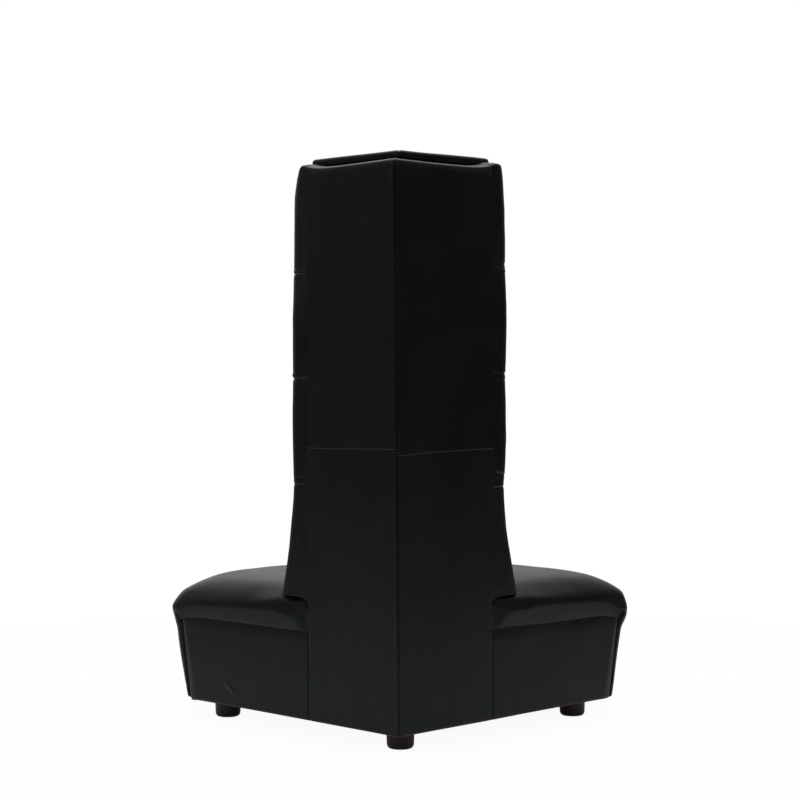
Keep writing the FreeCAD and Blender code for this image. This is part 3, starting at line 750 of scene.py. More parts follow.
def upperLeft():
    made = outerUpper
    end = whole["wingSeam"]
    radius = made["cornerRadius"]
    lipStart = radius - radius * math.pi / 2.0 - (made["lipEnd"] - made["plane"] - radius)

    def shape(w, v):
        z, inward, upright = overTheTop("left", v, np.maximum(w, 0.0))
        s, p, turned = aroundCorner(w, made["plane"], made)
        # the narrow strip down the corner: its edge sways, with a small ridge beside it
        beat = wavy(made["stripBeat"], z, z * 0.0)
        high = made["stripLow"] + (1.0 - made["stripLow"]) * ease(*made["stripRise"], z)
        stripEdge = made["stripEdge"] + made["stripSway"] * beat
        strip = made["stripHeight"] * high * (1.0 - ease(-0.0012, 0.0014, w - stripEdge))
        height, back, width = made["stripRidge"]
        strip = strip * ease(0.0, 0.003, w)
        strip = strip + height * high * (0.5 + beat) * ridge(w, stripEdge - back, width)
        diveStart, diveEnd, depth = made["lipDive"]
        dive = depth * ease(diveStart, diveEnd, p) * (turned >= 1.0)
        waves = panelWaves("left", s, z, upright) + pressFolds("left", s, z)
        waves = waves * ease(0.0, made["edgeBand"], end - w) * ease(0.012, 0.03, w) + strip * upright
        back = edgeRoll(end - w, made["endRoll"])
        flatSide = 1.0 - turned
        p = p + flatSide * (back - waves) + inward * flatSide
        s = s + dive + inward * turned
        p = np.where(inward > 0.0, np.maximum(p, made["plane"] + inward - made["cornerGap"]), p)
        mitred = (inward > made["mitreFrom"]) & (turned < 1.0)
        s = np.where(mitred, np.maximum(s, p - made["mitreGap"]), s)
        return leaned(inFrame("left", towardSeam("left", s, z), p, z))

    corner = ((lipStart, radius, 0.0006), (radius, 0.019, 0.0008))
    us = graded(*corner, (0.019, 0.35, 0.006), (0.35, end, 0.0005))
    vs = upperRows()
    leatherSheet("outerUpperLeatherLeft", "outer_back_upper_left", "left", us, vs, shape, paintedRimHighlight)


upperRight()
upperLeft()

outerLower = {
    "bottomRadius": 0.007,
    "underRun": 0.012,
    "lapTops": {
        "left": ((0.0, 0.808), (0.3, 0.805)),
        "right": ((0.0, 0.7905), (0.11, 0.797), (0.356, 0.8025)),
    },
    "lapRoll": (0.0013, 0.0032, 0.0022),
    "lapEdge": 0.0014,
    "endRolls": (0.0085, 0.0020),
    "endRollSpan": (0.10, 0.62),
    "endRollShare": 0.55,
    "cornerRadius": 0.0022,
    "lipRun": 0.0022,
    "tuck": 0.0017,
    "rightStart": 0.0032,
    "rightRoll": 0.0022,
    "rightRidge": (0.0005, 0.0068, 0.0022),
    "leftRidge": (0.0008, 0.0055, 0.0028),
    "beats": {
        "left": ((1.0, (0.026, 1.0), 5.9), (0.7, (0.011, 1.0), 1.3)),
        "right": ((1.0, (0.04, 1.0), 7.7),),
    },
    "dip": (0.004, 0.022),
    "drag": (((0.03, 0.075), (0.11, 0.30)), ((0.045, 0.07), (0.17, 0.26)), ((0.02, 0.08), (0.06, 0.33)),
             ((0.02, 0.07), (0.10, 0.16))),
    "dragDepth": 0.00032,
    "dragWidth": 0.007,
    "pull": {"left": 1.0, "right": 0.5},
}


def roundUnder(v, s):
    # height and inward run of a lower edge that rolls under the base
    made = outerLower
    radius = made["bottomRadius"]
    arc = radius * math.pi / 2.0
    dip, reach = made["dip"]
    low = whole["bottom"] - dip * np.exp(-s / reach)
    angle = np.clip((made["underRun"] + arc - v) / arc, 0.0, 1.0) * math.pi / 2.0
    under = np.clip(made["underRun"] - v, 0.0, None)
    inward = radius * (1.0 - np.cos(angle)) + under
    z = low + radius * (1.0 - np.sin(angle))
    return z, inward


def lowerRows(top):
    made = outerLower
    start = made["underRun"]
    arc = made["bottomRadius"] * math.pi / 2.0
    rise = top - whole["bottom"] - made["bottomRadius"]
    return graded(
        (0.0, start, 0.004),
        (start, start + arc, 0.0011),
        (start + arc, start + arc + rise - 0.012, 0.006),
        (start + arc + rise - 0.012, start + arc + rise, 0.0007),
    ), start + arc, rise


def lowerFace(wing, s, v, foot, rise):
    made = outerLower
    z, inward = roundUnder(v, s)
    share = np.clip((v - foot) / rise, 0.0, 1.0)
    top = tableAt(made["lapTops"][wing], s)
    z = z + share * (top - whole["bottom"] - made["bottomRadius"])
    upright = (v >= foot) * 1.0
    height, place, width = made["lapRoll"]
    lap = height * ridge(top - z, place, width) * upright
    tuckIn = edgeRoll(top - z, made["lapEdge"]) * upright
    waves = panelWaves(wing, s, z, upright) * ease(0.0, outerUpper["edgeBand"], s)
    for start, end in made["drag"]:
        fold = crease(s, z, start, end, made["dragWidth"]) * upright
        waves += made["dragDepth"] * made["pull"][wing] * fold
    wide, narrow = made["endRolls"]
    endRadius = narrow + (wide - narrow) * (1.0 - ease(*made["endRollSpan"], z))
    back = edgeRoll(whole["wingSeam"] - s, endRadius)
    waves = waves * ease(0.0, outerUpper["edgeBand"], whole["wingSeam"] - s)
    return z, inward + tuckIn + back * made["endRollShare"] - lap - waves


def lowerRight():
    made = outerLower
    start = made["rightStart"]
    vs, foot, rise = lowerRows(whole["lapTop"])

    def shape(u, v):
        z, p = lowerFace("right", u, v, foot, rise)
        beat = wavy(made["beats"]["right"], z, z * 0.0)
        height, place, width = made["rightRidge"]
        p = p + edgeRoll(u - start, made["rightRoll"]) - height * (1.0 + beat) * ridge(u, place, width)
        return leaned(inFrame("right", towardSeam("right", u, z), p, z))

    us = graded((start, 0.011, 0.0005), (0.011, 0.342, 0.006), (0.342, whole["wingSeam"], 0.0008))
    leatherSheet("outerLowerLeatherRight", "outer_back_lower_right", "right", us, vs, shape)


def lowerLeft():
    made = outerLower
    radius = made["cornerRadius"]
    vs, foot, rise = lowerRows(whole["lapTop"])
    turn = radius * math.pi / 2.0
    lipStart = radius - turn - made["lipRun"]

    def shape(w, v):
        s, p, turned = aroundCorner(w, 0.0, made)
        z, back = lowerFace("left", np.maximum(w, 0.0), v, foot, rise)
        beat = wavy(made["beats"]["left"], z, z * 0.0)
        height, place, width = made["leftRidge"]
        roll = height * (0.4 + 0.8 * np.maximum(beat, -0.4)) * ridge(w, place, width)
        tuck = made["tuck"] * ease(0.0, made["lipRun"], p - radius) * (turned >= 1.0)
        flatSide = 1.0 - turned
        s = s + tuck + back * turned
        p = p + flatSide * (back - roll)
        return leaned(inFrame("left", towardSeam("left", s, z), p, z))

    corner = ((lipStart, radius, 0.0004), (radius, 0.014, 0.0008))
    us = graded(*corner, (0.014, 0.342, 0.006), (0.342, whole["wingSeam"], 0.0008))
    leatherSheet("outerLowerLeatherLeft", "outer_back_lower_left", "left", us, vs, shape)


lowerRight()
lowerLeft()
print("outer back made")


# Seat cushion: a crowned square that rolls over its edge down to the seam

cushion = {
    "edge": -0.0058,
    "widestHeight": 0.332,
    "rollRise": 0.034,
    "rollRun": 0.085,
    "dome": 0.0642,
    "domePower": 6.3,
    "domeEase": 0.76,
    "cornerRadius": 0.050,
    "cornerGrowth": 0.29,
    "underInset": 0.0072,
    "sideLift": 0.011,
    "hemBump": 0.016,
    "sags": {
        "left": ((0.356, 0.0042), (0.42, 0.0070), (0.60, 0.0068), (0.80, 0.0060), (0.86, 0.0040),
                 (0.90, 0.0), (0.93, 0.0), (0.97, 0.002)),
        "right": ((0.356, 0.0), (0.50, 0.0012), (0.56, 0.0035), (0.70, 0.0045), (0.78, 0.0040),
                  (0.84, 0.0025), (0.90, -0.0020), (0.93, 0.0), (0.97, 0.002)),
    },
    "lifts": {
        "left": ((0.36, -0.010), (0.41, -0.012), (0.445, -0.010), (0.50, -0.001), (0.55, 0.0), (0.80, 0.0),
                 (0.86, 0.002), (0.90, 0.003)),
        "right": ((0.36, -0.003), (0.45, 0.0), (0.50, 0.0), (0.54, 0.006), (0.60, 0.0085), (0.80, 0.009),
                  (0.86, 0.006), (0.92, 0.0)),
    },
    "cornerDrops": {"left": 0.026, "right": 0.031},
    "dropEnds": {"left": 0.375, "right": 0.360},
    "tipDrops": {"left": 0.0055, "right": 0.0},
    "pressed": (0.362, 0.430, 0.0010, 0.0085),
    "notch": (0.3520, 0.0545),
    "waves": ((0.0016, (0.26, 0.22), 4.4), (0.0008, (0.07, 0.08), 6.1)),
    "gathers": ((0.0010, (0.018, 0.09), 2.7),),
    "swells": ((0.0016, (0.16, 0.09), 9.3),),
    "sideDepth": 0.05,
    "hemDepth": 0.03,
    "dropPlace": 0.030,
    "dropReach": 0.075,
    "bottom": 0.2994,
}


def crownHeight(inset, s, p):
    made = cushion
    edge = made["edge"]
    span = whole["side"] - 2.0 * edge
    roll = made["rollRise"] * np.sqrt(1.0 - (1.0 - np.clip(inset / made["rollRun"], 0.0, 1.0)) ** 2)
    across = 1.0 - np.abs(2.0 * np.clip((s - edge) / span, 0.0, 1.0) - 1.0) ** made["domePower"]
    along = 1.0 - np.abs(2.0 * np.clip((p - edge) / span, 0.0, 1.0) - 1.0) ** made["domePower"]
    return made["widestHeight"] + roll + made["dome"] * (across * along) ** made["domeEase"]


def bySide(values, s, p):
    # a value for each side of the cushion, from a table along it or a single number
    along = np.maximum(s, p)
    left, right = (row if isinstance(row, float) else tableAt(row, along) for row in values.values())
    return right + (left - right) * ease(-0.1, 0.1, p - s)


def rollShift(z, s, p):
    # the side roll is fuller beside the back wings and hangs lower at the front corners
    made = cushion
    along = np.maximum(s, p)
    outer = 1.0 - ease(0.10, 0.45, np.minimum(s, p))
    depth = np.clip(np.minimum(s, p) - made["edge"], 0.0, None)
    fade = np.exp(-depth / made["sideDepth"])
    beside = (1.0 - ease(0.45, 0.85, along)) * fade
    lift = made["sideLift"] * beside + bySide(made["lifts"], s, p) * fade
    lift = lift * ease(made["bottom"], 0.33, z) * (1.0 - ease(0.345, 0.40, z))
    sag = bySide(made["sags"], s, p) * outer * (1.0 - ease(made["bottom"], 0.335, z))
    near = ease(0.360, 0.385, along) * (1.0 - ease(0.46, 0.62, along))
    bump = made["hemBump"] * near * np.exp(-depth / made["hemDepth"]) * ease(0.335, 0.358, z)
    tip = made["dropPlace"]
    far = whole["side"] - tip
    turns = np.zeros(len(z))
    for tipS, tipP in ((tip, far), (far, tip), (far, far)):
        turns += np.exp(-((s - tipS) ** 2 + (p - tipP) ** 2) / made["dropReach"] ** 2)
    low = 1.0 - ease(0.335, bySide(made["dropEnds"], s, p), z)
    drop = bySide(made["cornerDrops"], s, p) * turns * low
    atRim = 1.0 - ease(0.05, 0.16, np.minimum(s, p))
    drop = drop + bySide(made["tipDrops"], s, p) * atRim * ease(0.66, 0.84, along) * ease(0.335, 0.37, z)
    return lift + bump - drop - sag


def squareRing(u, inset):
    # place on a rounded square ring; u counts sides, the last quarter of each is the corner's arc
    middle = whole["side"] / 2.0
    size = middle - cushion["edge"] - inset
    radius = np.minimum(cushion["cornerRadius"] + cushion["cornerGrowth"] * inset, 0.985 * size)
    side = np.floor(np.clip(u, 0.0, 3.9999999))
    share = u - side
    straight = np.clip(share / 0.75, 0.0, 1.0)
    angle = np.clip((share - 0.75) / 0.25, 0.0, 1.0) * math.pi / 2.0
    flat = size - radius
    along = -flat + 2.0 * flat * straight + radius * np.sin(angle)
    out = -flat - radius * np.cos(angle)
    turn = side * math.pi / 2.0
    s = middle + along * np.cos(turn) - out * np.sin(turn)
    p = middle + along * np.sin(turn) + out * np.cos(turn)
    return s, p


def cushionShape(u, v):
    # v: from -1 at the seam, 0 at the widest place, 1 at the end of the side roll, 2 at the middle
    made = cushion
    below = np.clip(-v, 0.0, 1.0)
    low = made["widestHeight"] - (made["widestHeight"] - made["bottom"]) * below
    edgeS, edgeP = squareRing(u, np.zeros(len(u)))
    beside = 1.0 - ease(0.36, 0.43, np.maximum(edgeS, edgeP))
    tuckIn = made["underInset"] * (1.0 - 0.4 * beside) * below ** 1.4 + 0.005 * ease(0.94, 1.0, below)
    run = made["rollRun"] * (1.0 - np.cos(np.clip(v, 0.0, 1.0) * math.pi / 2.0))
    far = np.clip(v - 1.0, 0.0, 1.0) * (whole["side"] / 2.0 - made["edge"] - made["rollRun"])
    inset = np.where(v < 0.0, tuckIn, run + far)
    s, p = squareRing(u, inset)
    z = np.where(v < 0.0, low, crownHeight(inset, s, p))
    z = z + rollShift(z, s, p)
    z = z + wavy(made["waves"], s, p) * ease(0.33, 0.40, z)
    middle = whole["side"] / 2.0
    length = np.maximum(np.hypot(s - middle, p - middle), 1e-6)
    outwardS = (s - middle) / length
    outwardP = (p - middle) / length
    around = u * 0.9
    near = np.exp(-np.clip(z - made["bottom"], 0.0, None) / 0.020)
    atCorner = 0.5 + 0.9 * ridge(np.mod(u, 1.0), 0.875, 0.14)
    # both fade out where the ring closes, so that its ends meet
    closing = ease(0.0, 0.2, u) * (1.0 - ease(3.7, 4.0, u))
    pucker = wavy(made["gathers"], around, z) * atCorner * near * closing
    swell = wavy(made["swells"], around, z) * ease(0.30, 0.33, z) * closing
    s = s + outwardS * (pucker + swell)
    p = p + outwardP * (pucker + swell)
    # the roll is pressed flat where it meets the back wings
    start, end, plane, reach = made["pressed"]
    along = np.maximum(s, p)
    limit = plane - reach * ease(start, end, along)
    for place in (s, p):
        gap = place - limit
        push = 0.5 * (np.hypot(gap, 0.0015) - gap) * (1.0 - ease(end, end + 0.04, along))
        place += push * (place < along)
    return inFrame("right", s, p, z)


def makeNotchCutter():
    # an upright L-shaped block over the two places where the back wings stand in the cushion
    end, depth = cushion["notch"]
    lines = [whole["corner"] + 0.1, whole["corner"] - depth, whole["corner"] - end]
    bm = bmesh.new()
    bmesh.ops.create_grid(bm, x_segments=2, y_segments=2, size=1.0)
    for vert in bm.verts:
        x, y = (lines[round(place) + 1] for place in vert.co.xy)
        vert.co = (x, y, 0.17)
    farthest = min(bm.faces, key=lambda face: sum(face.calc_center_median()))
    bmesh.ops.delete(bm, geom=[farthest], context="FACES")
    made = bmesh.ops.extrude_face_region(bm, geom=bm.faces[:], use_keep_orig=True)
    raised = [item for item in made["geom"] if isinstance(item, bmesh.types.BMVert)]
    bmesh.ops.translate(bm, vec=(0.0, 0.0, 0.4), verts=raised)
    bmesh.ops.recalc_face_normals(bm, faces=bm.faces)
    return newObject("notchCutter", newMesh("notchCutter", bm))


def applyModifiers(piece):
    # the piece's modifiers are worked into its mesh
    graph = bpy.context.evaluated_depsgraph_get()
    mesh = bpy.data.meshes.new_from_object(piece.evaluated_get(graph))
    piece.modifiers.clear()
    old = piece.data
    piece.data = mesh
    bpy.data.meshes.remove(old)


def makeCushion():
    side = graded((0.0, 0.75, 0.0085), (0.75, 1.0, 0.0125))
    us = np.concatenate([side[:-1] + index for index in range(4)] + [np.array([4.0])])
    vs = graded((-1.0, -0.94, 0.015), (-0.94, 0.0, 0.067), (0.0, 1.0, 0.03), (1.0, 2.0, 0.045))
    bm = gridMesh(us, vs, cushionShape)
    closeHoles(bm)
    bmesh.ops.triangulate(bm, faces=[face for face in bm.faces if len(face.verts) > 4])
    piece = makePiece("seatCushion", bm, "black_leather", ["seat_cover", "seat_foam"], 0.0, 14.0)
    cutter = makeNotchCutter()
    cut = piece.modifiers.new("notch", "BOOLEAN")
    cut.operation = "DIFFERENCE"
    cut.solver = "EXACT"
    cut.use_self = True
    cut.object = cutter
    applyModifiers(piece)
    bpy.data.objects.remove(cutter)
    piece.data.set_sharp_from_angle(angle=math.radians(50.0))


makeCushion()
print("seat cushion made")


# Padded back wings: four channels wrapped round the wing's end, closed over the top

topRoll = {
    "back": 0.0582,
    "front": 0.1158,
    "ends": {"left": 0.4035, "right": 0.418},
    "endLifts": {"left": 0.0045, "right": 0.0080},
    "power": 0.62,
    "endRound": 0.006,
    "mitreTuck": (0.0012, 0.006),
    "mitreReach": 0.05,
    "gap": 0.0006,
    "clear": 0.0004,
    "sags": ((0.0006, (0.07, 1.4), 1.0),),
}

channels = {
    "plane": 0.0018,
    "radius": 0.038,
    "seams": {"left": (0.698, 0.994, 1.288), "right": (0.693, 1.005, 1.308)},
    "ends": {
        "left": ((0.36, 0.494), (0.401, 0.487), (0.415, 0.483), (0.477, 0.468), (0.523, 0.459),
                 (0.576, 0.452), (0.658, 0.443), (0.700, 0.4405), (0.850, 0.4445), (1.0, 0.4425),
                 (1.15, 0.443), (1.30, 0.437), (1.423, 0.435), (1.493, 0.433), (1.512, 0.430),
                 (1.529, 0.4265), (1.540, 0.4240), (1.546, 0.4225)),
        "right": ((0.36, 0.490), (0.401, 0.483), (0.415, 0.480), (0.477, 0.464), (0.523, 0.4535),
                  (0.576, 0.443), (0.652, 0.435), (0.700, 0.4325), (0.736, 0.437), (0.820, 0.443),
                  (0.931, 0.4415), (0.99, 0.4395), (1.043, 0.443), (1.154, 0.446), (1.252, 0.443),
                  (1.30, 0.4405), (1.378, 0.4405), (1.46, 0.4385), (1.531, 0.433), (1.556, 0.4305)),
    },
    "notchDepth": 0.0016,
    "depthLow": 0.104,
    "depthSwell": 0.020,
    "flareDepth": 0.150,
    "hem": ((0.352, 0.3650), (0.360, 0.3695), (0.370, 0.3790), (0.380, 0.3850), (0.40, 0.3878),
            (0.44, 0.3880), (0.50, 0.3880)),
    "hemLine": 0.0105,
    "shoulders": {
        "left": ((0.0, 0.0), (0.134, 0.003), (0.27, 0.005), (0.40, 0.007), (0.54, 0.0095), (0.68, 0.0145),
                 (0.82, 0.0205), (1.0, 0.030)),
        "right": ((0.0, 0.0), (0.14, 0.0012), (0.27, 0.0022), (0.41, 0.003), (0.55, 0.0045), (0.68, 0.006),
                  (0.82, 0.009), (1.0, 0.016)),
    },
    "shoulderRise": {"left": 0.0, "right": 0.0035},
    # painted light: the border's outer face near the back corner is paled over these heights, much more on
    # the left wing than the right
    "paintedLight": {"left": (1.0, 1.25, 0.72), "right": (1.0, 1.25, 0.1)},
    "underRoll": 1.5713,
    "endDraw": 0.014,
    "spine": 0.0555,
    "frameWall": 0.0545,
    "frameGap": 0.0009,
    "pleats": {
        "left": ((1.2850, 0.0032, 0.0042, 0.10), (0.9985, 0.0026, 0.0052, 0.03),
                 (0.9740, 0.0008, 0.0030, -0.25), (0.7220, 0.0007, 0.0022, 0.05),
                 (0.7020, 0.0008, 0.0024, 0.02)),
        "right": ((1.3160, 0.0012, 0.0028, -0.05), (1.2980, 0.0016, 0.0032, -0.22),
                  (1.0100, 0.0014, 0.0032, 0.03), (0.9900, 0.0010, 0.0030, 0.05),
                  (0.7340, 0.0016, 0.0040, -0.15), (0.6945, 0.0018, 0.0034, 0.04)),
    },
    "hemWaves": ((0.0006, (0.03, 0.03), 0.0),),
    "gathers": ((0.0011, (0.011, 0.06), 2.0),),
    "gatherReach": 0.022,
    "softness": ((0.0014, (0.09, 0.12), 5.0),),
    "borderWaves": ((0.0009, (0.03, 0.07), 7.0),),
    "borderSwell": 0.0008,
    "seatGap": 0.0012,
    "hemLow": 0.375,
    "hemStitch": (0.0005, 0.0014),
    "swellPower": 3.2,
    "swellEnds": (0.366, 1.571),
    "flareSpan": (0.40, 0.62),
    "seamDepth": (0.004, 0.0045),
    "taperSpan": (1.40, 1.60),
    "taperDepth": 0.116,
    "mitreTuck": (0.007, 0.03),
    "seamRoll": 0.0006,
    "hemRoll": 0.0012,
    "closing": 0.97,
    "underClosing": 0.9,
}


def insetAt(s, p):
    # how far inside the cushion's widest outline a place lies
    edge = cushion["edge"]
    inset = np.minimum(s, p) - edge
    for _ in range(6):
        radius = cushion["cornerRadius"] + cushion["cornerGrowth"] * inset
        centre = edge + inset + radius
        inCorner = (s < centre) & (p < centre)
        gap = radius - np.hypot(centre - s, centre - p)
        inset = np.where(inCorner, inset + gap, np.minimum(s, p) - edge)
    return inset


def seatSurface(s, p):
    return crownHeight(np.clip(insetAt(s, p), 0.0, None), s, p)


def channelSwell(wing, z):
    # 0 in the pulled-in seams, 1 in the middle of each channel
    seams = channels["seams"][wing]
    low, high = channels["swellEnds"]
    edges = (low + (low - seams[0]),) + seams + (2.0 * high - seams[2],)
    share = np.zeros(len(z))
    for low, high in zip(edges[:-1], edges[1:]):
        share = np.where((z >= low) & (z < high), (z - low) / (high - low), share)
    return 1.0 - np.abs(2.0 * share - 1.0) ** channels["swellPower"]


def seamNear(wing, z, width):
    return sum(ridge(z, seam, width) for seam in channels["seams"][wing])


def turnedAt(u, last):
    # the way an outline faces: across the wing up to 1, along it from 2 to 3, then turning on
    return np.interp(u, (1.0, 2.0, 3.0, 4.0), (-1.0, 0.0, 0.0, last)) * math.pi / 2.0


def wingOutline(u, start, end, depth):
    # u: 0-1 outer flat, 1-2 arc, 2-3 end, 3-4 arc, 4-5 inner face, 5-6 mitre, 6-7 frame wall, 7-8 seam wall
    made = channels
    plane = made["plane"]
    radius = made["radius"]
    wall = made["frameWall"]
    share = u - np.floor(np.clip(u, 0.0, 7.9999999))
    share = np.where(u >= 8.0, 1.0, share)
    turn = share * math.pi / 2.0
    kind = np.clip(np.floor(u), 0, 7).astype(int)
    zero = np.zeros(len(u))
    s = np.choose(kind, [
        start + (end - radius - start) * share,
        end - radius + radius * np.sin(turn),
        end + zero,
        end - radius + radius * np.cos(turn),
        end - radius + (depth - end + radius) * share,
        depth + (wall - depth) * share,
        wall + (start - wall) * share,
        start + zero,
    ])
    p = np.choose(kind, [
        plane + zero,
        plane + radius - radius * np.cos(turn),
        plane + radius + (depth - plane - 2.0 * radius) * share,
        depth - radius + radius * np.sin(turn),
        depth + zero,
        depth + (wall - depth) * share,
        wall + zero,
        wall + (plane - wall) * share,
    ])
    return s, p


def channelShape(wing):
    made = channels
    seed = seeds[wing]

    def shape(u, v):
        # v: 0-1 the underside, 1-2 from the hem up to the top's start, 2-3 over the top
        rise = np.clip(v - 1.0, 0.0, 1.0)
        over = np.clip(v - 2.0, 0.0, 1.0)
        under = np.clip(1.0 - v, 0.0, 1.0)
        start = np.full(len(u), float(seamAt(wing, 0.39)) + made["frameGap"])
        baseEnd = np.full(len(u), float(tableAt(made["ends"][wing], 0.39)))
        s0, p0 = wingOutline(u, start, baseEnd, np.full(len(u), made["flareDepth"]))
        hem = tableAt(made["hem"], s0)
        onSeat = np.maximum(seatSurface(s0, p0) + made["seatGap"], made["hemLow"])
        hem = np.where(p0 < 0.03, hem, hem + (onSeat - hem) * ease(0.03, 0.075, p0))
        hem = hem + wavy(made["hemWaves"], s0 + p0, s0, seed)
        # the outer half rises behind the roll, the inner half stays under it
        endTop = np.full(len(u), float(tableAt(made["ends"][wing], 1.5)))
        s1, p1 = wingOutline(u, start, endTop, np.full(len(u), topRoll["front"]))
        top = tableAt(backTops[wing], s1) + made["shoulderRise"][wing] * ease(0.350, 0.372, s1)
        rollEnd = topRoll["ends"][wing]
        inner = (p1 > made["spine"]) | ((u >= 5.0) & (u < 7.0))
        past = ease(rollEnd + 0.001, rollEnd + 0.010, s1)
        underTop = made["underRoll"] + (top - made["underRoll"]) * past
        top = np.where(inner, underTop, top)
        z = hem + (top - rimRise[-1] - hem) * rise
        end = tableAt(made["ends"][wing], z) - made["notchDepth"] * seamNear(wing, z, 0.006)
        swell = channelSwell(wing, z)
        flare = (1.0 - ease(*made["flareSpan"], z)) ** 1.2
        depth = made["depthLow"] + made["depthSwell"] * np.maximum(swell, flare)
        depth = depth + (made["flareDepth"] - made["depthLow"] - made["depthSwell"]) * flare
        pulled, width = made["seamDepth"]
        depth = depth - pulled * seamNear(wing, z, width)
        depth = depth + (made["taperDepth"] - depth) * ease(*made["taperSpan"], z)
        start = seamAt(wing, z) + made["frameGap"]
        s, p = wingOutline(u, start, end, depth)
        inside = ((u > 1.3) & (u < 5.0)) * ease(1.3, 2.2, u)
        outside = (u < 1.6) * 1.0
        # gathers beside the seams, deeper on the room side
        along = np.where(u < 4.0, p, 0.5 - s)
        nearest = np.minimum.reduce([np.abs(z - seam) for seam in made["seams"][wing]])
        gather = wavy(made["gathers"], along, z, seed) * np.exp(-nearest / made["gatherReach"])
        soft = wavy(made["softness"], along, z, seed) * ease(0.0, 0.4, swell)
        push = (gather + soft) * inside
        mitre = ease(0.0, 0.02, s - p) * (u < 5.0) + (u >= 5.0)
        tuck, reach = made["mitreTuck"]
        tuckMitre = tuck * (1.0 - ease(0.0, reach, s - p)) * ((u > 3.5) & (u <= 5.0))
        push = push * mitre - tuckMitre
        # the wrapped border: slight pillow between pleats
        border = wavy(made["borderWaves"], s, z, seed) + made["borderSwell"] * swell
        border = border * ease(0.0, 0.35, u) * outside
        across = ease(0.0, 0.10, u) * outside
        for height, proud, width, tilt in made["pleats"][wing]:
            # a soft fold that stands proud, with a tuck just under it
            line = z - height - tilt * (s - 0.39)
            fade = 0.65 + 0.35 * np.cos((s - 0.385) * 70.0 + height * 9.0)
            border = border + proud * ridge(line, 0.0, width) * across * fade
            border = border - 0.7 * proud * ridge(line, -1.7 * width, 0.6 * width) * across
        depth, width = made["hemStitch"]
        border = border - depth * ridge(z, hem + made["hemLine"], width) * outside
        seamTuck = edgeRoll(np.clip(s - start, 0.0, None), made["seamRoll"]) * (u < 1.0)
        hemRoll = edgeRoll(np.clip(z - hem, 0.0, None), made["hemRoll"]) * (v >= 1.0) * (u < 5.0)
        facing = turnedAt(u, 1.0)
        total = (push + border - hemRoll) * (u < 5.0)
        s = s + np.cos(facing) * total
        p = p + np.sin(facing) * total + seamTuck
        # over the top: the same rounding as the outer back, closed on the spine
        length = over * rimLengths[-1]
        draw = np.interp(length, rimLengths, rimRun) / rimRun[-1] * made["closing"]
        climb = np.interp(length, rimLengths, rimRise)
        bent = tableAt(made["shoulders"][wing], climb / rimRise[-1])
        s = s - bent * np.clip(1.0 - (end - s) / 0.05, 0.0, 1.0)
        spineS = np.clip(s, 0.05, end - made["endDraw"])
        z = z + climb
        s = s + (spineS - s) * draw
        p = p + (made["spine"] - p) * draw
        # the underside closes just above the cushion
        s = s + (spineS - s) * under * made["underClosing"]
        p = p + (made["spine"] + 0.01 - p) * under * made["underClosing"]
        z = z + 0.003 * under
        return inFrame(wing, s, p, z)

    return shape


def makeChannels(wing):
    us = graded(
        (0.0, 0.12, 0.015), (0.12, 1.0, 0.08), (1.0, 2.0, 0.0715), (2.0, 3.0, 0.09), (3.0, 4.0, 0.0715),
        (4.0, 4.85, 0.019), (4.85, 5.0, 0.008), (5.0, 6.0, 0.5), (6.0, 7.0, 0.1), (7.0, 8.0, 0.25),
    )
    seams = channels["seams"][wing]
    hem = 0.39
    span = whole["backTop"] - rimRise[-1] - hem
    stops = [(1.0, 1.004, 0.0005)]
    start = 1.004
    for seam in seams:
        middle = 1.0 + (seam - hem) / span
        stops.append((start, middle - 0.03, 0.0055))
        stops.append((middle - 0.03, middle + 0.03, 0.0013))
        start = middle + 0.03
    stops.append((start, 2.0, 0.0055))
    vs = graded((0.0, 1.0, 0.5), *stops, (2.0, 2.28, 0.07), (2.28, 2.56, 0.014), (2.56, 3.0, 0.055))
    bm = gridMesh(us, vs, channelShape(wing))
    closeHoles(bm)
    name = "channelledBack" + wing.capitalize()
    nodes = ["inside_back_cover_" + wing, "back_foam_" + wing]

    # painted light on the border's outer face near the back corner
    def paintedLight(place):
        low, high, most = channels["paintedLight"][wing]
        back = whole["corner"] - max(place.x, place.y)
        return most * ease(low, high, place.z) * (back < 0.01)

    piece = makePiece(name, bm, "black_leather", nodes, paintedLight=paintedLight)


for wing in wings:
    makeChannels(wing)
print("channelled back made")


# Top roll: a soft bar along each wing, mitred at the back corner

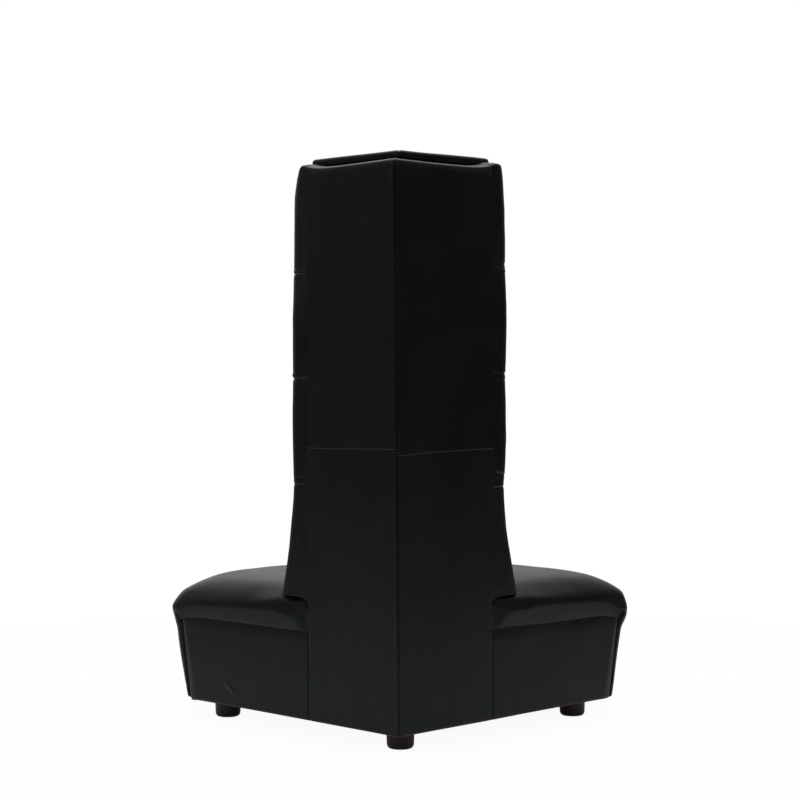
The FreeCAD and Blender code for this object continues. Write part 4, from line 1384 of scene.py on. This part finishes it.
def rollShape(wing):
    made = topRoll
    middleP = (made["back"] + made["front"]) / 2.0
    middleZ = (whole["backTop"] + whole["rollTop"]) / 2.0 + made["clear"]
    halfP = (made["front"] - made["back"]) / 2.0
    halfZ = (whole["rollTop"] - whole["backTop"]) / 2.0 - made["clear"]

    def shape(u, v):
        # u turns round the section, v: 0-1 the mitre's face, 1-2 along the bar, 2-3 the end
        turn = u * 2.0 * math.pi
        wide = np.sign(np.cos(turn)) * np.abs(np.cos(turn)) ** made["power"]
        tall = np.sign(np.sin(turn)) * np.abs(np.sin(turn)) ** made["power"]
        along = np.clip(v - 1.0, 0.0, 1.0)
        closing = np.clip(1.0 - v, 0.0, 1.0)
        ending = np.clip(v - 2.0, 0.0, 1.0)
        s = middleP + (made["ends"][wing] - middleP) * along
        lift = made["endLifts"][wing] * ease(0.0, 1.0, along) * np.clip(0.5 + 0.5 * tall, 0.0, 1.0)
        tuck, reach = made["mitreTuck"]
        shrink = tuck * np.exp(-(s - middleP) / reach)
        sag = wavy(made["sags"], s, wide, seeds[wing])
        angle = ending * math.pi / 2.0
        shrink = shrink + made["endRound"] * (1.0 - np.cos(angle))
        keep = (1.0 - closing) * (1.0 - np.clip(ending - 0.6, 0.0, 1.0) / 0.4)
        p = middleP + wide * (halfP - shrink + sag) * keep
        z = middleZ + (tall * (halfZ - shrink + sag * 0.5) + lift) * keep
        mitred = (p + made["gap"] - s) * np.exp(-(s - middleP) / made["mitreReach"])
        s = s + np.where(v <= 1.0, p + made["gap"] - s, mitred)
        s = s - made["endRound"] * (1.0 - np.sin(angle)) * (v >= 2.0)
        return inFrame(wing, s, p, z)

    return shape


def makeRoll(wing):
    us = graded((0.0, 1.0, 1.0 / 72.0))
    vs = graded((0.0, 1.0, 0.25), (1.0, 1.06, 0.006), (1.06, 2.0, 0.02), (2.0, 3.0, 0.1))
    bm = gridMesh(us, vs, rollShape(wing))
    closeHoles(bm)
    name = "topRoll" + wing.capitalize()
    piece = makePiece(name, bm, "black_leather", ["top_roll_cover_" + wing, "top_roll_foam_" + wing])


for wing in wings:
    makeRoll(wing)
print("top roll made")


# Base: flat sides, slanted padded front facings and the contrast stitches between them

base = {
    "sideStart": 0.3500,
    "topReturn": 0.009,
    "bulge": 0.0006,
    "valley": 0.0042,
    "valleyWidths": (0.036, 0.015),
    "startTuck": 0.0022,
    "topLean": (0.0026, 0.036, 0.005),
    # painted light: a constant paler tone on the side panels and front facings, in place of reflected light
    "paintedLight": 0.24,
    "frontTop": 0.963,
    "frontBottom": 0.899,
    "radiusTop": 0.031,
    "radiusBottom": 0.021,
    "noseRadius": 0.030,
    "stitchTops": {"left": 0.915, "right": 0.9175},
    "stitchBottom": 0.8735,
    "bottomRises": {
        "left": ((0.36, 0.0), (0.50, 0.0008), (0.80, 0.0012), (0.845, 0.0010), (0.872, -0.002)),
        "right": ((0.36, 0.0), (0.50, 0.0010), (0.82, 0.0012), (0.87, 0.0)),
    },
    "fullness": {"left": 0.004, "right": -0.0035},
    "lumps": {"left": 0.005, "right": 0.0105},
    "cornerRises": {"left": 0.005, "right": 0.002},
    "facingPlane": 0.0008,
    "facingSwell": 0.004,
    "stitchPitch": 0.008,
    "crease": ((0.714, 0.120), (0.666, 0.088)),
    "creaseSize": (0.0022, 0.0046),
    "sideWaves": ((0.0009, (0.17, 0.12), 0.0), (0.0003, (0.05, 0.06), 3.0)),
    "sidePuckers": ((0.0005, (0.012, 0.05), 5.0),),
    "stitchPull": (0.0004, 0.004),
    "sidePlane": 0.0004,
    "sideProud": -0.003,
    "facingWaves": ((0.0012, (0.11, 0.09), 0.0),),
    "facingGathers": ((0.0008, (0.013, 0.07), 2.0),),
    "scallop": 0.0007,
    "scallopWaves": ((0.0009, (0.02, 0.02), 4.0),),
    "facingDip": 0.012,
    "middleSeam": (0.004, 0.014),
    "rowGap": 0.0002,
}


def heightShare(z):
    return np.clip((z - whole["bottom"]) / (whole["seatSeam"] - whole["bottom"]), 0.0, 1.0)


def stitchAt(wing, z):
    return base["stitchBottom"] + (base["stitchTops"][wing] - base["stitchBottom"]) * heightShare(z)


def frontAt(z):
    return base["frontBottom"] + (base["frontTop"] - base["frontBottom"]) * heightShare(z)


def baseRows():
    # the last rows turn in under the cushion
    vs, foot, rise = lowerRows(whole["seatSeam"] - 0.0008)
    end = foot + rise
    return np.concatenate((vs, graded((end, end + base["topReturn"], 0.0022))[1:])), foot, rise


def riseAndReturn(v, foot, rise):
    z, inward = roundUnder(v, np.full(len(v), 1.0))
    return z + np.clip(v - foot, 0.0, rise), inward + np.clip(v - foot - rise, 0.0, None)


def leanAt(z):
    # the top of a side falls back a little under the cushion
    depth, reach, start = base["topLean"]
    return depth * np.clip(1.0 - (whole["seatSeam"] - start - z) / reach, 0.0, 1.0) ** 2


def stitchBeat(z):
    return np.cos(2.0 * math.pi * z / base["stitchPitch"])


def sidePanel(wing):
    made = base
    vs, foot, rise = baseRows()
    seed = seeds[wing] + 12.0

    def shape(u, v):
        z, inward = riseAndReturn(v, foot, rise)
        row = stitchAt(wing, z)
        s = made["sideStart"] + (row - made["sideStart"]) * u
        share = heightShare(z)
        low, high = made["valleyWidths"]
        dip = made["valley"] * np.clip(1.0 - (row - s) / (low + (high - low) * share), 0.0, 1.0) ** 2
        start = made["startTuck"] * (1.0 - ease(0.0, 0.012, s - made["sideStart"] - 0.002))
        lean = leanAt(z)
        fade = ease(0.0, 0.03, row - s) * ease(0.0, 0.02, s - made["sideStart"]) * (v >= foot)
        waves = wavy(made["sideWaves"], s, z, seed) * fade
        waves += made["bulge"] * fade * np.sin(share * math.pi)
        topPucker = wavy(made["sidePuckers"], s, z, seed) * ease(0.90, 1.0, share) * fade
        if wing == "left":
            height, width = made["creaseSize"]
            waves += height * crease(s, z, *made["crease"], width)
        pull, reach = made["stitchPull"]
        stitchPull = pull * stitchBeat(z) * (1.0 - ease(0.0, reach, row - s))
        p = made["sidePlane"] + start + lean + dip + stitchPull - waves - topPucker
        p = np.maximum(p, made["sideProud"]) + inward
        z = z + tableAt(made["bottomRises"][wing], s) * (1.0 - share)
        return inFrame(wing, s, p, z)

    us = graded((0.0, 0.03, 0.004), (0.03, 0.92, 0.0115), (0.92, 1.0, 0.0022))
    name = "sideLeather" + wing.capitalize()
    leatherSheet(name, "side_cover_" + wing, wing, us, vs, shape, made["paintedLight"])


def frontFacing(wing):
    made = base
    vs, foot, rise = baseRows()
    seed = seeds[wing] + 21.0

    def shape(u, v):
        # u: 0-1 from the stitched seam to the corner, 1-2 round it, 2-3 along the front, 3-4 the nose
        z, inward = riseAndReturn(v, foot, rise)
        share = heightShare(z)
        front = frontAt(z) + made["fullness"][wing] * np.sin(share * math.pi)
        radius = made["radiusBottom"] + (made["radiusTop"] - made["radiusBottom"]) * share
        plane = made["facingPlane"]
        nose = front - made["noseRadius"]
        step = np.clip(u - np.floor(np.clip(u, 0.0, 3.9999999)), 0.0, 1.0)
        turn = step * math.pi / 2.0
        kind = np.clip(np.floor(u), 0, 3).astype(int)
        row = stitchAt(wing, z) + made["rowGap"]
        zero = np.zeros(len(u))
        s = np.choose(kind, [
            row + (front - radius - row) * step,
            front - radius + radius * np.sin(turn),
            front + zero,
            nose + made["noseRadius"] * np.cos(turn / 2.0),
        ])
        p = np.choose(kind, [
            plane + zero,
            plane + radius - radius * np.cos(turn),
            plane + radius + (nose - plane - radius) * step,
            nose + made["noseRadius"] * np.sin(turn / 2.0),
        ])
        facing = turnedAt(u, 0.5)
        along = np.where(u < 2.0, s * 0.4 + z * 0.1, p)
        swell = made["facingSwell"] * np.sin(share * math.pi) ** 0.7 * ease(1.2, 2.1, u)
        swell = swell + wavy(made["facingWaves"], along, z, seed) * ease(0.4, 1.4, u)
        gather = wavy(made["facingGathers"], along, z, seed) * (1.0 - ease(0.0, 0.16, 1.0 - share))
        scallop = made["scallop"] * stitchBeat(z) + wavy(made["scallopWaves"], z, z, seed)
        away = np.clip(s - row, 0.0, None)
        dip = (made["valley"] - plane) * (1.0 - ease(0.0, made["facingDip"], away)) * (u < 1.5)
        dip = dip + scallop * np.exp(-away / made["facingDip"]) * (u < 2.0)
        depth, reach = made["middleSeam"]
        seam = depth * (1.0 - ease(0.0, reach, np.abs(s - p))) * (u > 2.5)
        out = swell + gather * ease(0.5, 1.5, u) - dip - seam - inward
        roundAbout = ease(0.2, 1.2, u) * (1.0 - ease(1.8, 2.5, u))
        out = out + made["lumps"][wing] * ease(0.78, 0.97, share) * roundAbout
        z = z + made["cornerRises"][wing] * roundAbout * (1.0 - share) ** 3
        return inFrame(wing, s + np.cos(facing) * out, p + np.sin(facing) * out, z)

    us = graded((0.0, 1.0, 0.055), (1.0, 2.0, 0.06), (2.0, 2.97, 0.011), (2.97, 4.0, 0.05))
    bm = gridMesh(us, vs, shape)
    faceToward(bm, wing, 1.0, 0.1)
    name = "frontFacing" + wing.capitalize()
    nodes = ["front_cover_" + wing, "front_foam_" + wing]
    piece = makePiece(name, bm, "black_leather", nodes, 0.004, paintedLight=made["paintedLight"])


stitch = {
    "length": 0.0050,
    "width": 0.0044,
    "thickness": 0.0036,
    "margin": 0.007,
    "offset": 0.0036,
    "slant": 0.12,
}


def makeStitches():
    made = stitch
    bm = bmesh.new()
    rise = whole["seatSeam"] - whole["bottom"]
    count = int((rise - 2.0 * made["margin"]) // base["stitchPitch"]) + 1
    width = base["valleyWidths"]
    for wing in wings:
        lean = math.atan2(base["stitchTops"][wing] - base["stitchBottom"], rise)
        for index in range(count):
            z = whole["bottom"] + made["margin"] + (index + 0.5) * base["stitchPitch"]
            share = float(heightShare(np.array([z]))[0])
            s = float(stitchAt(wing, np.array([z]))[0]) - made["offset"]
            reach = width[0] + (width[1] - width[0]) * share
            p = base["valley"] * (1.0 - made["offset"] / reach) ** 2 + float(leanAt(z))
            new = bmesh.ops.create_uvsphere(bm, u_segments=8, v_segments=6, radius=0.5)["verts"]
            bmesh.ops.scale(bm, vec=(made["width"], made["thickness"], made["length"]), verts=new)
            slant = made["slant"] - lean if wing == "right" else lean - made["slant"]
            turns = [Quaternion((0.0, 1.0, 0.0), slant)]
            if wing == "left":
                turns.append(Quaternion((0.0, 0.0, 1.0), -math.pi / 2.0))
            for turn in turns:
                bmesh.ops.rotate(bm, matrix=turn.to_matrix(), verts=new)
            place = inFrame(wing, np.array([s]), np.array([p]), np.array([z]))[0]
            bmesh.ops.translate(bm, vec=Vector(place), verts=new)
    makePiece("contrastStitches", bm, "tan_thread", ["corner_stitching"])


for wing in wings:
    sidePanel(wing)
    frontFacing(wing)
makeStitches()
print("base made")


# Feet: turned wood with a rounded sole edge

footShape = {
    "top": 0.0508,
    "radii": (0.038, 0.0366, 0.026),
    "soleRound": 0.013,
    "segments": 64,
    "topRound": 0.0012,
    "soleSteps": 8,
}


def makeFoot(node):
    low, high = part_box(node)
    centre = (low + high) / 2.0
    made = footShape
    topRadius, waist, sole = made["radii"]
    rise = made["soleRound"]
    top = made["top"]
    bevel = made["topRound"]
    profile = [(0.0, top), (topRadius - bevel, top), (topRadius, top - bevel)]
    profile.append(((topRadius + waist) / 2.0, (top + rise) / 2.0))
    for index in range(made["soleSteps"] + 1):
        angle = index / made["soleSteps"] * math.pi / 2.0
        profile.append((sole + (waist - sole) * math.cos(angle), rise * (1.0 - math.sin(angle))))
    profile.append((0.0, 0.0))
    bm = bmesh.new()
    verts = [bm.verts.new((radius, 0.0, z)) for radius, z in profile]
    edges = [bm.edges.new(pair) for pair in zip(verts[:-1], verts[1:])]
    bmesh.ops.spin(
        bm, geom=verts + edges, cent=(0.0, 0.0, 0.0), axis=(0.0, 0.0, 1.0),
        angle=2.0 * math.pi, steps=made["segments"], use_merge=True, use_duplicate=False,
    )
    bmesh.ops.remove_doubles(bm, verts=bm.verts, dist=0.00001)
    bmesh.ops.recalc_face_normals(bm, faces=bm.faces)
    bmesh.ops.translate(bm, vec=Vector((centre.x, centre.y, 0.0)), verts=bm.verts)
    words = node.split("_")
    piece = makePiece(words[0] + words[1].capitalize(), bm, "foot_wood", [node])
    piece.data.set_sharp_from_angle(angle=math.radians(40.0))


for node in ("foot_corner", "foot_left", "foot_right", "foot_front"):
    makeFoot(node)
print("feet made")


# Dust cloth: a thin sheet tacked under the base

dustCloth = {
    "sag": 0.0022,
    "height": 0.0514,
    "tack": 0.045,
    "wrinkles": ((0.0012, (0.09, 0.11), 3.9),),
    "tackPull": (0.0006, 0.02),
}


def makeDustCloth():
    made = dustCloth
    low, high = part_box("dust_cloth")

    def shape(u, v):
        x = low.x + (high.x - low.x) * u
        y = low.y + (high.y - low.y) * v
        hang = (np.sin(u * math.pi) * np.sin(v * math.pi)) ** 0.6
        wrinkle = wavy(made["wrinkles"], x, y) * hang
        edge = np.minimum.reduce([x - low.x, high.x - x, y - low.y, high.y - y])
        tacks = np.sin(2.0 * math.pi * x / made["tack"]) * np.sin(2.0 * math.pi * y / made["tack"])
        pull, reach = made["tackPull"]
        wrinkle = wrinkle - pull * np.abs(tacks) * np.exp(-edge / reach) * (edge > 0.002)
        return np.column_stack((x, y, made["height"] - made["sag"] * hang + wrinkle))

    grid = graded((0.0, 0.04, 0.005), (0.04, 0.96, 0.012), (0.96, 1.0, 0.005))
    bm = gridMesh(grid, grid, shape)
    turnFaces(bm, Vector((0.0, 0.0, -1.0)))
    piece = makePiece("dustSheet", bm, "dust_cloth", ["dust_cloth"], 0.0004)


makeDustCloth()


def dressNodes():
    # the frame's own pieces keep their shape and take the finish of their slot
    for part in frame["record"]["subparts"]:
        piece = frame["nodes"][part["node"]]
        for place in piece.material_slots:
            place.material = materials[part["material_slot"]]


dressNodes()
print("frame pieces dressed")
